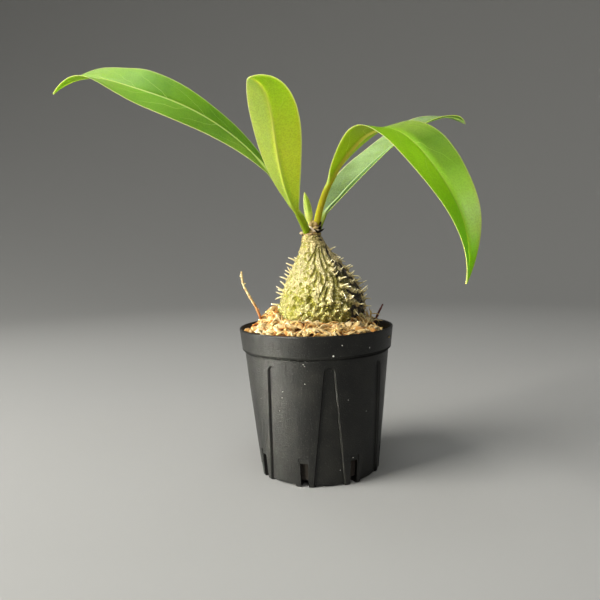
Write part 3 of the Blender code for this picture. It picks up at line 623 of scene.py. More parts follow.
def caudexRelief(turn, z):
    # height of the bark over the plain body, and how deep in a furrow or pit the point lies
    cx, cy = math.cos(turn), math.sin(turn)
    spot = plainSpot(turn, z)
    x, y = spot.x, spot.y
    waver = grain(cx * 1.4 + 2.0, cy * 1.4 + 5.0, z / 11.0)
    waver += 0.5 * grain(cx * 3.5 + 7.0, cy * 3.5 + 1.0, z / 6.0) + 0.2 * grain(cx * 9.0, cy * 9.0, z / 3.0)
    phase = caudexShape["ribs"] * turn + caudexShape["ribWave"] * waver
    upper = ramp(80.0, 96.0, z + 5.0 * grain(x / 8.0, y / 8.0, z / 8.0))
    low = 1 - ramp(75.0, 84.0, z)
    neck = ramp(107.0, 112.5, z)
    bare = ramp(69.0, 75.0, z)
    calm = ramp(0.1, 0.8, math.cos(turn + 2.2))  # the side towards the camera's left is smoother
    # furrows placed one by one on the front, and wavering ones between the ribs elsewhere
    reach = furrowTree.find(spot)[2]
    cut = 0.66 - 0.18 * ramp(98, 106, z) + 0.3 * grain(x / 2.5, y / 2.5, z / 4.0)
    placed = math.exp(-(reach / cut) ** 2)
    free = ramp(1.4, 3.4, reach) * (1 - 0.75 * calm)
    gap = abs((phase / (2 * math.pi)) % 1.0 - 0.5) * 2 * math.pi * caudexRadius(z) / caudexShape["ribs"]
    width = max(0.45 + 0.25 * grain(x / 3.0, y / 3.0, z / 5.0), 0.24)
    furrow = math.exp(-(gap / width) ** 2) * ramp(-0.2, 0.18, grain(x / 4.0, y / 4.0 + 4.0, z / 8.0)) * free
    _, which, away = pitTree.find(spot)
    dent = math.exp(-(away / (greenPits[which][2] * (1.05 + 0.5 * grain(x / 1.2, y / 1.2, z / 1.2)))) ** 4)
    dent *= 1 - 0.6 * low
    pit = max(dent, (0.75 - 0.5 * upper) * ramp(0.16, 0.42, grain(x / 1.9 + 5.0, y / 1.9, z / 2.4)))
    # small beads, rounder lobes near the moss, knobs that carry the spines
    bead = pebble(x, y, z * 0.85, 2.2) + 0.5 * pebble(x, y, z, 1.1)
    beaded = ramp(0.62, 0.88, math.cos(turn - math.radians(215.0)))
    lobe = grain(x / 2.6, y / 2.6 + 3.0, z / 2.4)
    fine = grain(x / 0.6, y / 0.6, z / 0.75)
    hump = grain(x / 5.0, y / 5.0, z / 6.0)
    _, which, away = spineTree.find(spot)
    knob = spinePlan[which][7] * math.exp(-(away / 0.95) ** 2)
    crack = ramp(0.1, 0.45, grain(x / 2.4 + 3.0, y / 2.4, z / 0.55))
    rings = 0.1 * math.cos(4.1 * z + 3.0 * grain(cx * 2.0, cy * 2.0, z / 3.0)) - 0.25 * furrow - 0.5 * placed
    rings -= 0.22 * crack
    ribbed = (0.24 * math.cos(phase) - 0.6 * furrow) * free + (0.35 + 0.6 * beaded) * bead
    ribbed += 0.4 * lobe - 0.4 * pit - 0.35 * dent
    knobbly = 1.65 * bead * (1 - 0.5 * low) + 1.1 * lobe * (0.35 + 0.65 * low) + 0.5 * hump
    knobbly -= 0.8 * pit + 0.25 * dent + 0.25 * furrow
    relief = ribbed * upper + knobbly * (1 - upper) - 0.75 * placed + knob + 0.14 * fine
    valley = 0.85 * placed + 0.85 * furrow * upper + pit * (0.7 + 0.4 * (1 - upper)) + 0.5 * dent - 0.9 * knob
    valley -= bead * (0.95 - 0.5 * upper * (1 - beaded)) * (1 - 0.6 * low) - 0.16
    # painted shade: on the right, away from the spines and below about 100 mm, the dark hollow colour spreads
    # over the bark
    paintedShadeBetweenSpines = (1 - calm) * ramp(1.2, 2.0, away) * ramp(0.0, 0.5, math.cos(turn)) * ramp(104.0, 98.0, z)
    valley += 0.35 * ramp(-0.1, 0.6, -lobe) * low + 0.55 * paintedShadeBetweenSpines
    valley += (0.75 * crack - 0.5 * valley) * neck
    relief = relief * (1 - neck) + (rings + 0.15 * fine + 0.2 * bead - 0.2 * ramp(113.4, 115.0, z)) * neck
    return bare * relief, min(max(valley, 0.0), 1.0)


def onCaudex(turn, z, lift=0.0):
    relief, valley = caudexRelief(turn, z)
    radius = caudexRadius(z) + relief + lift
    return Vector((caudexMiddle(z) + radius * math.cos(turn), radius * math.sin(turn), z)), valley


def corkyCaudexBark():
    # living swollen stem under thin cork: cream and dull on the crests, olive and faintly moist in the
    # furrows where green tissue shows through, greener towards the moss, tan and ringed at the neck
    material, tree, shader, spot = newMaterial("corky_caudex_bark", {
        "Specular IOR Level": 0.65, "Subsurface Weight": 0.05,
        "Subsurface Radius": (0.0005, 0.0004, 0.0002), "Subsurface Scale": 1.0})
    valley = addNode(tree, "Attribute", out="Fac", attribute_name="valley")
    height = addNode(tree, "SeparateXYZ", (spot,), out="Z")
    patch = addNode(tree, "TexNoise", {"Vector": spot, "Scale": 0.16, "Detail": 3.0})
    fleck = addNode(tree, "TexNoise", {"Vector": spot, "Scale": 0.95, "Detail": 4.0})
    low = addNode(tree, "MapRange", (height, 98.0, 76.0, -0.25, 0.62))
    patches = addNode(tree, "Math", (patch, 1.1, -0.55), operation="MULTIPLY_ADD")
    # the side towards the window has more green in its skin
    shaded = addNode(tree, "Attribute", out="Fac", attribute_name="shaded")
    green = addNode(tree, "Math", (shaded, 0.16, low), operation="MULTIPLY_ADD")
    greenShare = addNode(tree, "Math", (green, patches), operation="ADD", use_clamp=True)
    crest = addNode(tree, "Mix", {0: greenShare, 6: "#dccd96", 7: "#aea846"}, **colourMix)
    # painted light: the crests are painted darker on the side towards the window and lighter on the side away
    # from it
    paintedLightLevel = addNode(tree, "MapRange", (shaded, 0.0, 1.0, 1.06, 0.67))
    paintedLightCrest = addNode(tree, "HueSaturation", {"Color": crest, "Value": paintedLightLevel})
    neck = addNode(tree, "MapRange", (height, 105.0, 113.0))
    crestNeck = addNode(tree, "Mix", {0: neck, 6: paintedLightCrest, 7: "#d4bb7c"}, **colourMix)
    deep = addNode(tree, "MapRange", (valley, 0.08, 0.6), interpolation_type="SMOOTHSTEP")
    # the side away from the window has browner crests, and the hollows between its knobs are painted nearly
    # black, a painted shade
    awaySide = addNode(tree, "Attribute", out="Fac", attribute_name="awaySide")
    crestAwaySide = addNode(tree, "Mix", {0: awaySide, 6: crestNeck, 7: "#dcc68c"}, **colourMix)
    paintedShadeShare = addNode(tree, "MapRange", (awaySide, 0.0, 0.4))
    greenHollow = addNode(tree, "Mix", {0: shaded, 6: "#80782a", 7: "#8f8d16"}, **colourMix)
    hollow = addNode(tree, "Mix", {0: paintedShadeShare, 6: greenHollow, 7: "#241808"}, **colourMix)
    furrowed = addNode(tree, "Mix", {0: deep, 6: crestAwaySide, 7: hollow}, **colourMix)
    # warty beads of 0.9 mm, too fine for the mesh: olive in their creases
    wart = addNode(tree, "TexVoronoi", {"Vector": spot, "Scale": 1.1})
    crease = addNode(tree, "MapRange", (wart, 0.3, 0.75, 0.0, 0.5))
    creased = addNode(tree, "Mix", {0: crease, 6: furrowed, 7: hollow}, **colourMix)
    flecks = addNode(tree, "MapRange", (fleck, 0.58, 0.8, 0.0, 0.4))
    colour = addNode(tree, "Mix", {0: flecks, 6: creased, 7: "#a8924f"}, **colourMix)
    rough = addNode(tree, "MapRange", (deep, 0.0, 1.0, 0.36, 0.3))
    relief = addNode(tree, "Math", (fleck, 0.5, wart), operation="MULTIPLY_ADD")
    bump = addNode(tree, "Bump", {"Height": relief, "Strength": 0.8, "Distance": 0.0007}, invert=True)
    plug(tree, shader, {"Base Color": colour, "Roughness": rough, "Normal": bump})
    return material


def dryHorn(name, root, tip, rough=0.45, shine=0.5):
    # short woody roots that have dried into spines: horn-like, pale and slightly glossy, browner at the tip
    material, tree, shader, spot = newMaterial(name, {
        "Roughness": rough, "Specular IOR Level": shine, "Subsurface Weight": 0.1,
        "Subsurface Radius": (0.0006, 0.0005, 0.0003), "Subsurface Scale": 1.0})
    along = addNode(tree, "Attribute", out="Fac", attribute_name="along")
    fleck = addNode(tree, "TexNoise", {"Vector": spot, "Scale": 0.8, "Detail": 2.0})
    share = addNode(tree, "Math", (fleck, -0.5, along), operation="MULTIPLY_ADD")
    colour = addNode(tree, "ValToRGB", (share,), stops=((0.0, root), (0.7, tip)))
    bump = addNode(tree, "Bump", {"Height": fleck, "Strength": 0.3, "Distance": 0.0001})
    plug(tree, shader, {"Base Color": colour, "Normal": bump})
    return material


def growSpine(bm, marks, turn, z, rise, length, lean, curl, thick):
    root = onCaudex(turn, z, -0.15)[0]
    out = Vector((math.cos(turn), math.sin(turn), 0.0))
    side = Vector((-out.y, out.x, 0.0))
    way = (out + side * lean + Vector((0, 0, rise))).normalized()
    length, path, steps = 0.88 * length, [root - way * 1.0], 5
    for k in range(steps):
        path.append(path[-1] + way * ((length + 1.0) / steps))
        way = (way + Vector((0, 0, 1)) * curl / steps + side * 0.4 * curl / steps).normalized()
    radii = [thick * 2.4, thick * 1.4, thick * 1.0, thick * 0.9, thick * 0.7, 0.0]
    wrapTube(bm, path, radii, 6, marks, ("along",), facing=(side + Vector((0, 0, 0.3))))


def makeCaudex():
    bm, marks = newShape("valley", "awaySide", "shaded")
    foot, top = caudexShape["foot"], caudexShape["top"]
    rows, sunk, sunkShare = caudexShape["along"], caudexShape["sunk"], 0.06

    def placeBark(u, v):
        if v < 0.5 / rows or v > 1 - 0.5 / rows:
            end = foot if v < 0.5 else top
            return Vector((caudexMiddle(end), 0.0, end)), (0.3, 0.0, 0.0)
        share = min(max((v * rows - 1) / (rows - 2), 0.0), 1.0)
        # the part in the moss gets few rows
        if share < sunkShare:
            z = foot + sunk * share / sunkShare
        else:
            z = foot + sunk + (top - foot - sunk) * (share - sunkShare) / 0.94
        turn = 2 * math.pi * u
        spot, valley = onCaudex(turn, z)
        # the top meets the stem in a ragged line
        spot.z += 0.7 * grain(2.2 * math.cos(turn), 2.2 * math.sin(turn), 3.0) * ramp(112.0, 115.0, z)
        # the side away from the window, with browner crests and painted shade in its hollows, stretches from 55
        # degrees right of the camera's side round to the back
        ragged = 0.35 * grain(spot.x / 4.0, spot.y / 4.0, z / 4.0)
        awayFromWindow = ramp(0.38, 0.95, math.cos(turn - math.radians(5.0)) + ragged)
        return spot, (valley, awayFromWindow, ramp(-0.2, 0.9, -math.cos(turn)))

    wrapGrid(bm, caudexShape["around"], rows, placeBark, marks)
    finishPiece("caudex_body", bm, corkyCaudexBark(), ["caudex"])

    bm, marks = newShape("along")
    for *spine, _ in spinePlan:
        root = onCaudex(*spine[:2])[0]
        if root.z > mossTop(root.x, root.y) + 1.2:
            growSpine(bm, marks, *spine)
    finishPiece("caudex_spines", bm, dryHorn("dry_root_spine", "#cfc087", "#efe6c4"))


stemShape = {
    "foot": 114.4, "top": 122.4, "radii": (4.1, 4.3, 3.85, 3.1, 2.8, 2.9, 2.0),
    "lean": (-1.0, -0.9, -0.5, 0.3, 0.8, 1.0, 1.1),
    # points, radii, sides, marks for scar and pale, and the way that the section faces
    "growths": (
        # pale nub of an old bud on the left
        (((-4.6, -0.9, 115.8), (-5.6, -1.0, 116.0), (-6.3, -1.1, 116.2), (-6.9, -1.1, 116.2)),
         (0.9, 0.85, 0.7, 0.0), 8, (0.0, 0.5), (0, 0, 1)),
        # rosy sheath under the young leaf
        (((-1.2, -1.5, 117.4), (-1.3, -1.9, 118.8), (-1.3, -1.9, 120.4), (-1.2, -1.6, 121.9),
          (-1.1, -1.4, 122.6)),
         (0.9, 1.35, 1.25, 0.8, 0.0), 12, (0.25, 0.0), (0, 1, 0)),
        # scar of a fallen leaf: a pale collar that runs down to the right
        (((-2.5, -2.5, 119.9), (-1.6, -3.1, 118.9), (-0.8, -3.6, 118.0), (0.0, -3.9, 117.0), (1.0, -3.9, 116.9),
          (2.2, -3.3, 117.3), (3.5, -2.0, 117.1)),
         (0.0, 0.45, 0.55, 0.62, 0.55, 0.42, 0.0), 8, (0.0, 1.0), (0, 0, 1)),
    ),
    # root, way, length and thickness
    "stipules": (
        ((2.7, -3.2, 116.7), (0.95, -0.25, 0.35), 3.5, 0.82),
        ((1.9, -3.8, 116.4), (-0.75, -0.2, 0.55), 2.9, 0.78),
        ((3.1, -2.1, 118.4), (0.4, -0.5, 0.5), 1.7, 0.8), ((3.0, -1.9, 120.3), (0.5, -0.4, 0.6), 1.8, 0.8),
        ((3.0, -1.5, 122.0), (0.4, -0.3, 0.8), 1.6, 0.5), ((-3.2, 0.6, 118.8), (-0.8, 0.2, 0.5), 1.7, 0.4),
        ((-5.2, -1.3, 115.2), (-0.9, -0.2, 0.1), 1.6, 0.5), ((-0.6, 2.7, 117.9), (0.1, 0.9, 0.3), 2.2, 0.5),
        ((1.6, 2.6, 120.0), (0.3, 0.8, 0.5), 1.8, 0.4),
    ),
}


def youngStemBark():
    # soft young wood under a thin skin: pale tan with rosy patches at the nodes and darker rings of leaf scars
    material, tree, shader, spot = newMaterial("young_stem_bark", {
        "Roughness": 0.6, "Subsurface Weight": 0.2, "Subsurface Radius": (0.0012, 0.0007, 0.0005),
        "Subsurface Scale": 1.0})
    scar = addNode(tree, "Attribute", out="Fac", attribute_name="scar")
    patch = addNode(tree, "TexNoise", {"Vector": spot, "Scale": 0.5, "Detail": 4.0})
    skin = addNode(tree, "ValToRGB", (patch,), stops=((0.3, "#8d7a3c"), (0.46, "#bda45c"), (0.58, "#cfae80"),
                   (0.7, "#6d5526")))
    scarred = addNode(tree, "Mix", {0: scar, 6: skin, 7: "#7d6136"}, **colourMix)
    pale = addNode(tree, "Attribute", out="Fac", attribute_name="pale")
    colour = addNode(tree, "Mix", {0: pale, 6: scarred, 7: "#e2cdb0"}, **colourMix)
    bump = addNode(tree, "Bump", {"Height": patch, "Strength": 0.5, "Distance": 0.0003})
    plug(tree, shader, {"Base Color": colour, "Normal": bump})
    return material


def makeStem():
    bm, marks = newShape("scar", "pale")
    rows = 54

    def placeStem(u, v):
        share = min(max((v * rows - 1) / (rows - 2), 0.0), 1.0)
        z = stemShape["foot"] + (stemShape["top"] - stemShape["foot"]) * share
        middle = Vector((smooth(stemShape["lean"], share), 0.0, z))
        if v < 0.5 / rows or v > 1 - 0.5 / rows:
            return middle, (0.0, 0.0)
        turn = 2 * math.pi * u
        cx, cy = math.cos(turn), math.sin(turn)
        ring = math.cos(4.4 * z + 2.5 * grain(cx, cy, 4.0))
        radius = smooth(stemShape["radii"], share) + 0.2 * ring * min(3 * share, 1 - share)
        radius += 0.55 * grain(cx * 2.4, cy * 2.4, z / 1.1)
        return middle + Vector((radius * cx, radius * cy, 0)), (ramp(0.3, 0.95, -ring) * 0.8, 0.0)

    wrapGrid(bm, 90, rows, placeStem, marks)
    for points, radii, sides, values, facing in stemShape["growths"]:
        wrapTube(bm, [Vector(point) for point in points], radii, sides, marks, values, facing=facing)
    finishPiece("stem_bark", bm, youngStemBark(), ["stem"])

    # dry black tips of the stipules
    bm, marks = newShape("along")
    for root, way, length, thick in stemShape["stipules"]:
        way = Vector(way).normalized()
        path = [Vector(root) + way * (length * k / 5 - 0.6) + Vector((0, 0, 0.08 * k * k / 5))
                for k in range(6)]
        wrapTube(bm, path, [thick, thick * 1.1, thick, thick * 0.75, thick * 0.4, 0.0], 7, marks, ("along",),
                 flat=0.75)
    finishPiece("dry_stipules", bm, dryHorn("dry_black_stipule", "#120c07", "#060403", 0.85, 0.15))


# what most leaves share: half width of the petiole, narrowing at the tip, side and share of the half that takes
# painted sheen and shade from its own stops, margin that is paler (1 right, -1 left), strength of spots,
# streaks and veins, width of the midrib from below and above, painted light and shade along the leaf, and the
# counts of the mesh
plainLeaf = {
    "shift": (0.0, 0.0, 0.0), "stalkHalf": 1.45, "drip": 0.0, "halfSide": 1.0, "paintedLightHalfShare": 0.0, "paleRim": 0,
    "underPatch": 0.0, "patchScale": 0.07, "mottle": 0.08, "streak": 0.25, "paintedTipSheenShare": 0.0, "veinShow": 0.5,
    "ribWide": 1.5, "ribTop": 0.5, "ribShift": 0.0, "depth": ((0, 1), (1, 1)), "blade": 0.5, "ribThick": 2.6,
    "around": 64, "rows": 230,
}
# turn, rise and roll are degrees at equal steps from base to tip; the painted light along the leaf and the
# halves are stops along the leaf
leafShapes = {
    "leaf_left": {
        "base": (-2.7, 2.5, 119.6), "shift": (-1.2, 0.0, 0.2), "length": 169.0, "width": 20.8, "petiole": 0.16,
        "widen": 0.97, "taper": 0.51, "fold": 18.0, "drip": 0.7, "veins": 8, "seed": 1.0, "wave": 0.5,
        "turn": (174.5, 174.0, 171.5, 168.5, 159.5, 171.0),
        "rise": (61.0, 50.5, 35.5, 22.0, 15.5, -35.0),
        "roll": (-67.0, -92.0, -104.0, -76.5, -31.5, -13.5),
        "slot": "leaf_dark", "upper": "#578410", "upperPale": "#6b9718", "under": "#8fa41a", "paleRim": 1,
        # painted light: shade darkens the base, sheen pales the tip, and one half takes painted sheen and shade
        "depth": ((0.15, 0.54), (0.6, 1.0)), "paintedTipSheen": "#94a864", "paintedTipSheenShare": 0.5, "paintedLightHalfShare": 1.0,
        "paintedLightHalf": ((0.24, "#7ba428"), (0.31, "#779f22"), (0.38, "#5f8a14"), (0.75, "#678f18")),
        "ribAbove": "#afc766", "ribBelow": "#b5c64a", "petioleColour": "#8fa51e",
    },
    "leaf_front": {
        "base": (-3.4, -2.7, 116.5), "shift": (-0.2, 0.0, 1.6), "length": 92.0, "width": 21.9, "petiole": 0.12,
        "widen": 1.15, "taper": 0.77, "fold": 15.0, "veins": 6, "seed": 2.0, "wave": 0.35, "stalkHalf": 1.85,
        "turn": (252.5, 248.0, 255.0, 264.0, 261.5, 241.5),
        "rise": (38.5, 39.5, 49.5, 49.0, 29.5, -2.0),
        "roll": (9.0, 1.5, -7.0, -11.5, -2.5, 8.5),
        "slot": "leaf_underside", "upper": "#6c9a12", "upperPale": "#80a82c", "under": "#bfd43a",
        # painted light and shade along the leaf, and a painted sheen on the left half underneath, paler towards
        # the tip
        "depth": ((0.1, 0.92), (0.3, 1.02), (0.5, 1.2), (0.7, 1.04), (0.92, 0.74)),
        "ribWide": 0.95, "mottle": 0.11,
        "underHalf": ((0.2, "#98b05a"), (0.55, "#98b05c"), (0.72, "#b8d474"), (0.85, "#dcf482")),
        "ribAbove": "#b5cb62", "ribBelow": "#d0dc62", "petioleColour": "#8dae14",
    },
    "leaf_right": {
        "base": (1.3, -2.1, 121.4), "shift": (0.1, 0.9, 1.0), "stalkHalf": 1.7, "length": 152.0, "width": 24.9,
        "petiole": 0.105, "widen": 0.94, "taper": 0.82, "fold": 9.0, "veins": 7, "seed": 3.0, "wave": 0.4,
        "turn": (-37.5, -51.5, -66.0, -59.5, -43.5, -36.0),
        "rise": (74.0, 41.0, 1.0, -37.5, -62.5, -103.5),
        "roll": (4.0, 9.0, 6.5, 9.5, 13.0, -5.0),
        "slot": "leaf_dark", "upper": "#7cab09", "upperPale": "#84b018", "under": "#acb81c", "paleRim": -1,
        # painted light and shade along the leaf, and painted sheen and shade on one half
        "depth": ((0.15, 1.0), (0.3, 0.82), (0.42, 0.66), (0.5, 0.74), (0.66, 1.08), (0.8, 1.05), (0.9, 0.95)),
        "paintedLightHalf": ((0.45, "#8faa4c"), (0.52, "#7d9a34"), (0.6, "#54770a"), (0.66, "#60811a"),
                      (0.7, "#698e1f"), (0.78, "#98c248"), (0.83, "#b4e076"), (0.88, "#bce970"),
                      (0.94, "#8cb40e")), "paintedLightHalfShare": 1.0, "streak": 0.24,
        "ribAbove": "#98bc40", "ribBelow": "#f0e86c", "petioleColour": "#bbb220",
    },
    "leaf_back": {
        "base": (2.8, 1.9, 119.2), "length": 134.0, "width": 23.7, "petiole": 0.05,
        "widen": 0.76, "taper": 0.80, "fold": 7.0, "veins": 7, "seed": 4.0, "wave": 0.35,
        "turn": (48.0, 38.5, 34.5, 35.5, 39.0, 40.5),
        "rise": (62.0, 41.0, 34.5, 28.5, 12.0, -16.5),
        "roll": (30.0, 14.0, 3.5, 2.5, 9.0, 5.5),
        "slot": "leaf_pale", "upper": "#687d48", "upperPale": "#829a66", "under": "#6f852a", "mottle": 0.18,
        # painted light and shade along the leaf, and painted shade at the base of one half
        "depth": ((0.1, 0.7), (0.2, 0.78), (0.3, 0.98), (0.42, 1.4), (0.6, 1.3), (0.78, 1.0)),
        "paintedLightHalf": ((0.1, "#3c5a1c"), (0.5, "#6a8a54")), "paintedLightHalfShare": 1.0, "halfSide": -1.0,
        "ribTop": 0.55, "ribShift": -0.45, "veinShow": 0.15,
        "ribAbove": "#b4cc8c", "ribBelow": "#c0d294", "petioleColour": "#7f9530",
    },
    "young_leaf": {
        "base": (-1.7, -1.7, 119.9), "length": 15.8, "width": 4.3, "petiole": 0.03,
        "widen": 0.55, "taper": 0.70, "fold": 24.0, "veins": 5, "seed": 5.0, "wave": 0.1,
        "blade": 0.35, "ribThick": 1.2, "around": 32, "rows": 60,
        "turn": (190.0, 200.0, 200.0, 200.0, 195.0, 190.0),
        "rise": (86.0, 84.0, 82.0, 80.0, 80.0, 80.0),
        "roll": (80.0, 72.0, 70.0, 70.0, 72.0, 74.0),
        "slot": "leaf_young", "upper": "#6aa010", "upperPale": "#c8de72", "under": "#7db018",
        "underHalf": ((0.0, "#cbe07a"), (1.0, "#cbe07a")), "underPatch": 0.8, "patchScale": 0.55,
        "paleUpTo": 0.42, "mottle": 0.2, "depth": ((0.2, 0.95), (0.6, 0.8)),
        "ribAbove": "#c5d678", "ribBelow": "#b5cc58", "petioleColour": "#c9cf6e",
    },
}


def leafDirections(shape, share):
    turn, rise, roll = (math.radians(smooth(shape[key], share)) for key in ("turn", "rise", "roll"))
    run = Vector((math.cos(rise) * math.cos(turn), math.cos(rise) * math.sin(turn), math.sin(rise)))
    level = Vector((-math.sin(turn), math.cos(turn), 0.0))
    side = level * math.cos(roll) + run.cross(level) * math.sin(roll)
    return run, side, run.cross(side)


def leafHalfWidth(shape, share):
    t = max((share - shape["petiole"]) / (1 - shape["petiole"]), 0.0)
    a, b = shape["widen"], shape["taper"]
    peak = a / (a + b)
    blade = t ** a * (1 - t) ** b / (peak ** a * (1 - peak) ** b)
    stalk = min(shape["stalkHalf"], shape["width"] / 4)
    return max(shape["width"] / 2 * blade * (1 - shape["drip"] * share ** 14), stalk * (1 - math.sqrt(t)), 0.12)


def evenly(colour):
    # stops of one colour, for a leaf whose halves are alike
    return (0.0, colour), (1.0, colour)


def waxyLeaf(name, shape):
    # broad evergreen leaf: a waxy cuticle over thin moist flesh, so it has a soft wide gloss above, a dull
    # yellow-green underside, and lets light through; midrib, side veins and margin are paler
    material, tree, shader, spot = newMaterial(name, {
        "IOR": 1.45, "Subsurface Weight": 0.75, "Subsurface Radius": (0.0016, 0.0024, 0.0004),
        "Subsurface Scale": 1.0, "Specular IOR Level": 0.2})
    across, along, upper, fromRib, toEdge = (
        addNode(tree, "Attribute", out="Fac", attribute_name=mark)
        for mark in ("across", "along", "upper", "fromRib", "toEdge"))
    # large soft patches, and the fine mottle of the cells drawn at 0.7 mm
    patch = addNode(tree, "TexNoise", {"Vector": spot, "Scale": shape["patchScale"], "Detail": 3.0})
    mottle = addNode(tree, "TexVoronoi", {"Vector": spot, "Scale": 1.4})
    patchShare = addNode(tree, "MapRange", (patch, 0.3, 0.75))
    top = addNode(tree, "Mix", {0: patchShare, 6: shape["upper"], 7: shape["upperPale"]}, **colourMix)
    # one half of some leaves takes colours from its own stops along the leaf: painted sheen where they are
    # paler, painted shade where they are darker
    sideways = addNode(tree, "Math", (across, shape["halfSide"]), operation="MULTIPLY")
    half = addNode(tree, "MapRange", (sideways, -0.05, 0.25, 0.0, shape["paintedLightHalfShare"]))
    paintedLightHalf = addNode(tree, "ValToRGB", (along,), stops=shape.get("paintedLightHalf", evenly(shape["upper"])))
    topHalf = addNode(tree, "Mix", {0: half, 6: top, 7: paintedLightHalf}, **colourMix)
    # below, the half at negative across takes the stops of underHalf: on leaf_front a painted sheen that grows
    # paler towards its curled tip, on the young leaf its own pale patches
    lowerHalf = addNode(tree, "MapRange", (across, 0.05, -0.3, 0.0, 0.6))
    underShare = addNode(tree, "Math", (patchShare, shape["underPatch"], lowerHalf),
                         operation="MULTIPLY_ADD", use_clamp=True)
    underHalf = addNode(tree, "ValToRGB", (along,), stops=shape.get("underHalf", evenly(shape["under"])))
    bottom = addNode(tree, "Mix", {0: underShare, 6: shape["under"], 7: underHalf}, **colourMix)
    # the arching end of a leaf takes a paler colour, a painted sheen
    paintedTipSheenShare = addNode(tree, "MapRange", (along, 0.66, 0.84, 0.0, shape["paintedTipSheenShare"]))
    paintedTipSheen = shape.get("paintedTipSheen", shape["upper"])
    topTip = addNode(tree, "Mix", {0: paintedTipSheenShare, 6: topHalf, 7: paintedTipSheen}, **colourMix)
    faces = addNode(tree, "Mix", {0: upper, 6: bottom, 7: topTip}, **colourMix)
    # painted light and shade from base to tip, as half of the factor
    depth = addNode(tree, "ValToRGB", (along,), stops=[(share, factor / 2) for share, factor in shape["depth"]])
    cells = addNode(tree, "MapRange", (mottle, 0.1, 0.7, 2 - 2 * shape["mottle"], 2 + 2 * shape["mottle"]))
    value = addNode(tree, "Math", (cells, depth), operation="MULTIPLY")
    flesh = addNode(tree, "HueSaturation", {"Color": faces, "Value": value})
    # side veins leave the midrib about every 14 mm and bend towards the tip
    away = addNode(tree, "Math", (across,), operation="ABSOLUTE")
    swept = addNode(tree, "Math", (away, 1.5), operation="POWER")
    shift = addNode(tree, "Math", (across, 0.0), operation="GREATER_THAN")
    start = addNode(tree, "Math", (swept, -0.2, along), operation="MULTIPLY_ADD")
    counted = addNode(tree, "Math", (start, float(shape["veins"])), operation="MULTIPLY")
    phase = addNode(tree, "Math", (shift, 0.43, counted), operation="MULTIPLY_ADD")
    bend = addNode(tree, "Math", (patch, 0.9, phase), operation="MULTIPLY_ADD")
    distance = addNode(tree, "Math", (bend, 0.5), operation="PINGPONG")
    vein = addNode(tree, "MapRange", (distance, 0.0, 0.02, 1.0, 0.0), interpolation_type="SMOOTHSTEP")
    fade = addNode(tree, "MapRange", (away, 0.55, 0.92, shape["veinShow"], 0.0))
    veinShare = addNode(tree, "Math", (vein, fade), operation="MULTIPLY")
    ribSides = addNode(tree, "Mix", {0: upper, 6: shape["ribBelow"], 7: shape["ribAbove"]}, **colourMix)
    veined = addNode(tree, "Mix", {0: veinShare, 6: flesh, 7: ribSides}, **colourMix)
    # midrib: a fine pale line above, a broad raised one below that turns to the colour of the petiole
    ribWidth = addNode(tree, "MapRange", (upper, 0.0, 1.0, shape["ribWide"], shape["ribTop"]))
    ribRatio = addNode(tree, "Math", (fromRib, ribWidth), operation="DIVIDE")
    ribShare = addNode(tree, "MapRange", (ribRatio, 0.4, 1.0, 0.85, 0.0), interpolation_type="SMOOTHSTEP")
    baseShare = addNode(tree, "MapRange", (along, 0.12, 0.45, 1.0, 0.0))
    belowShare = addNode(tree, "Math", (upper, -1.0, baseShare), operation="MULTIPLY_ADD", use_clamp=True)
    ribColour = addNode(tree, "Mix", {0: belowShare, 6: ribSides, 7: shape["petioleColour"]}, **colourMix)
    ribbed = addNode(tree, "Mix", {0: ribShare, 6: veined, 7: ribColour}, **colourMix)
    stalkEnd = shape.get("paleUpTo", shape["petiole"] * 1.5)
    stalk = addNode(tree, "MapRange", (along, stalkEnd * 0.45, stalkEnd, 1.0, 0.0),
                    interpolation_type="SMOOTHSTEP")
    # the petiole is streaked with tan along its length
    unrolled = addNode(tree, "CombineXYZ", (across, along))
    streaks = addNode(tree, "Mapping", {"Vector": unrolled, "Scale": (1.6, 9.0, 1.0)})
    streak = addNode(tree, "TexNoise", {"Vector": streaks, "Scale": 1.0, "Detail": 3.0})
    tan = addNode(tree, "MapRange", (streak, 0.42, 0.6, 0.0, shape["streak"]))
    petiole = addNode(tree, "Mix", {0: tan, 6: shape["petioleColour"], 7: "#9c8238"}, **colourMix)
    stalked = addNode(tree, "Mix", {0: stalk, 6: ribbed, 7: petiole}, **colourMix)
    rim = addNode(tree, "MapRange", (toEdge, 0.12, 0.4, 0.8, 0.0), interpolation_type="SMOOTHSTEP")
    # on some leaves one margin is paler and the other is nearly as green as the blade
    greener = [0.3 if shape["paleRim"] == side else 1.0 for side in (1, -1)]
    rimSide = addNode(tree, "MapRange", (across, -0.1, 0.1, *greener))
    sidedRim = addNode(tree, "Math", (rim, rimSide), operation="MULTIPLY")
    bladeRim = addNode(tree, "Math", (stalk, -1.0, sidedRim), operation="MULTIPLY_ADD", use_clamp=True)
    colour = addNode(tree, "Mix", {0: bladeRim, 6: stalked, 7: "#cede8c"}, **colourMix)
    rough = addNode(tree, "MapRange", (upper, 0.0, 1.0, 0.55, 0.5))
    raised = addNode(tree, "Math", (veinShare, -1.6, mottle), operation="MULTIPLY_ADD")
    bump = addNode(tree, "Bump", {"Height": raised, "Strength": 0.35, "Distance": 0.00012})
    plug(tree, shader, {"Base Color": colour, "Roughness": rough, "Normal": bump})
    return material


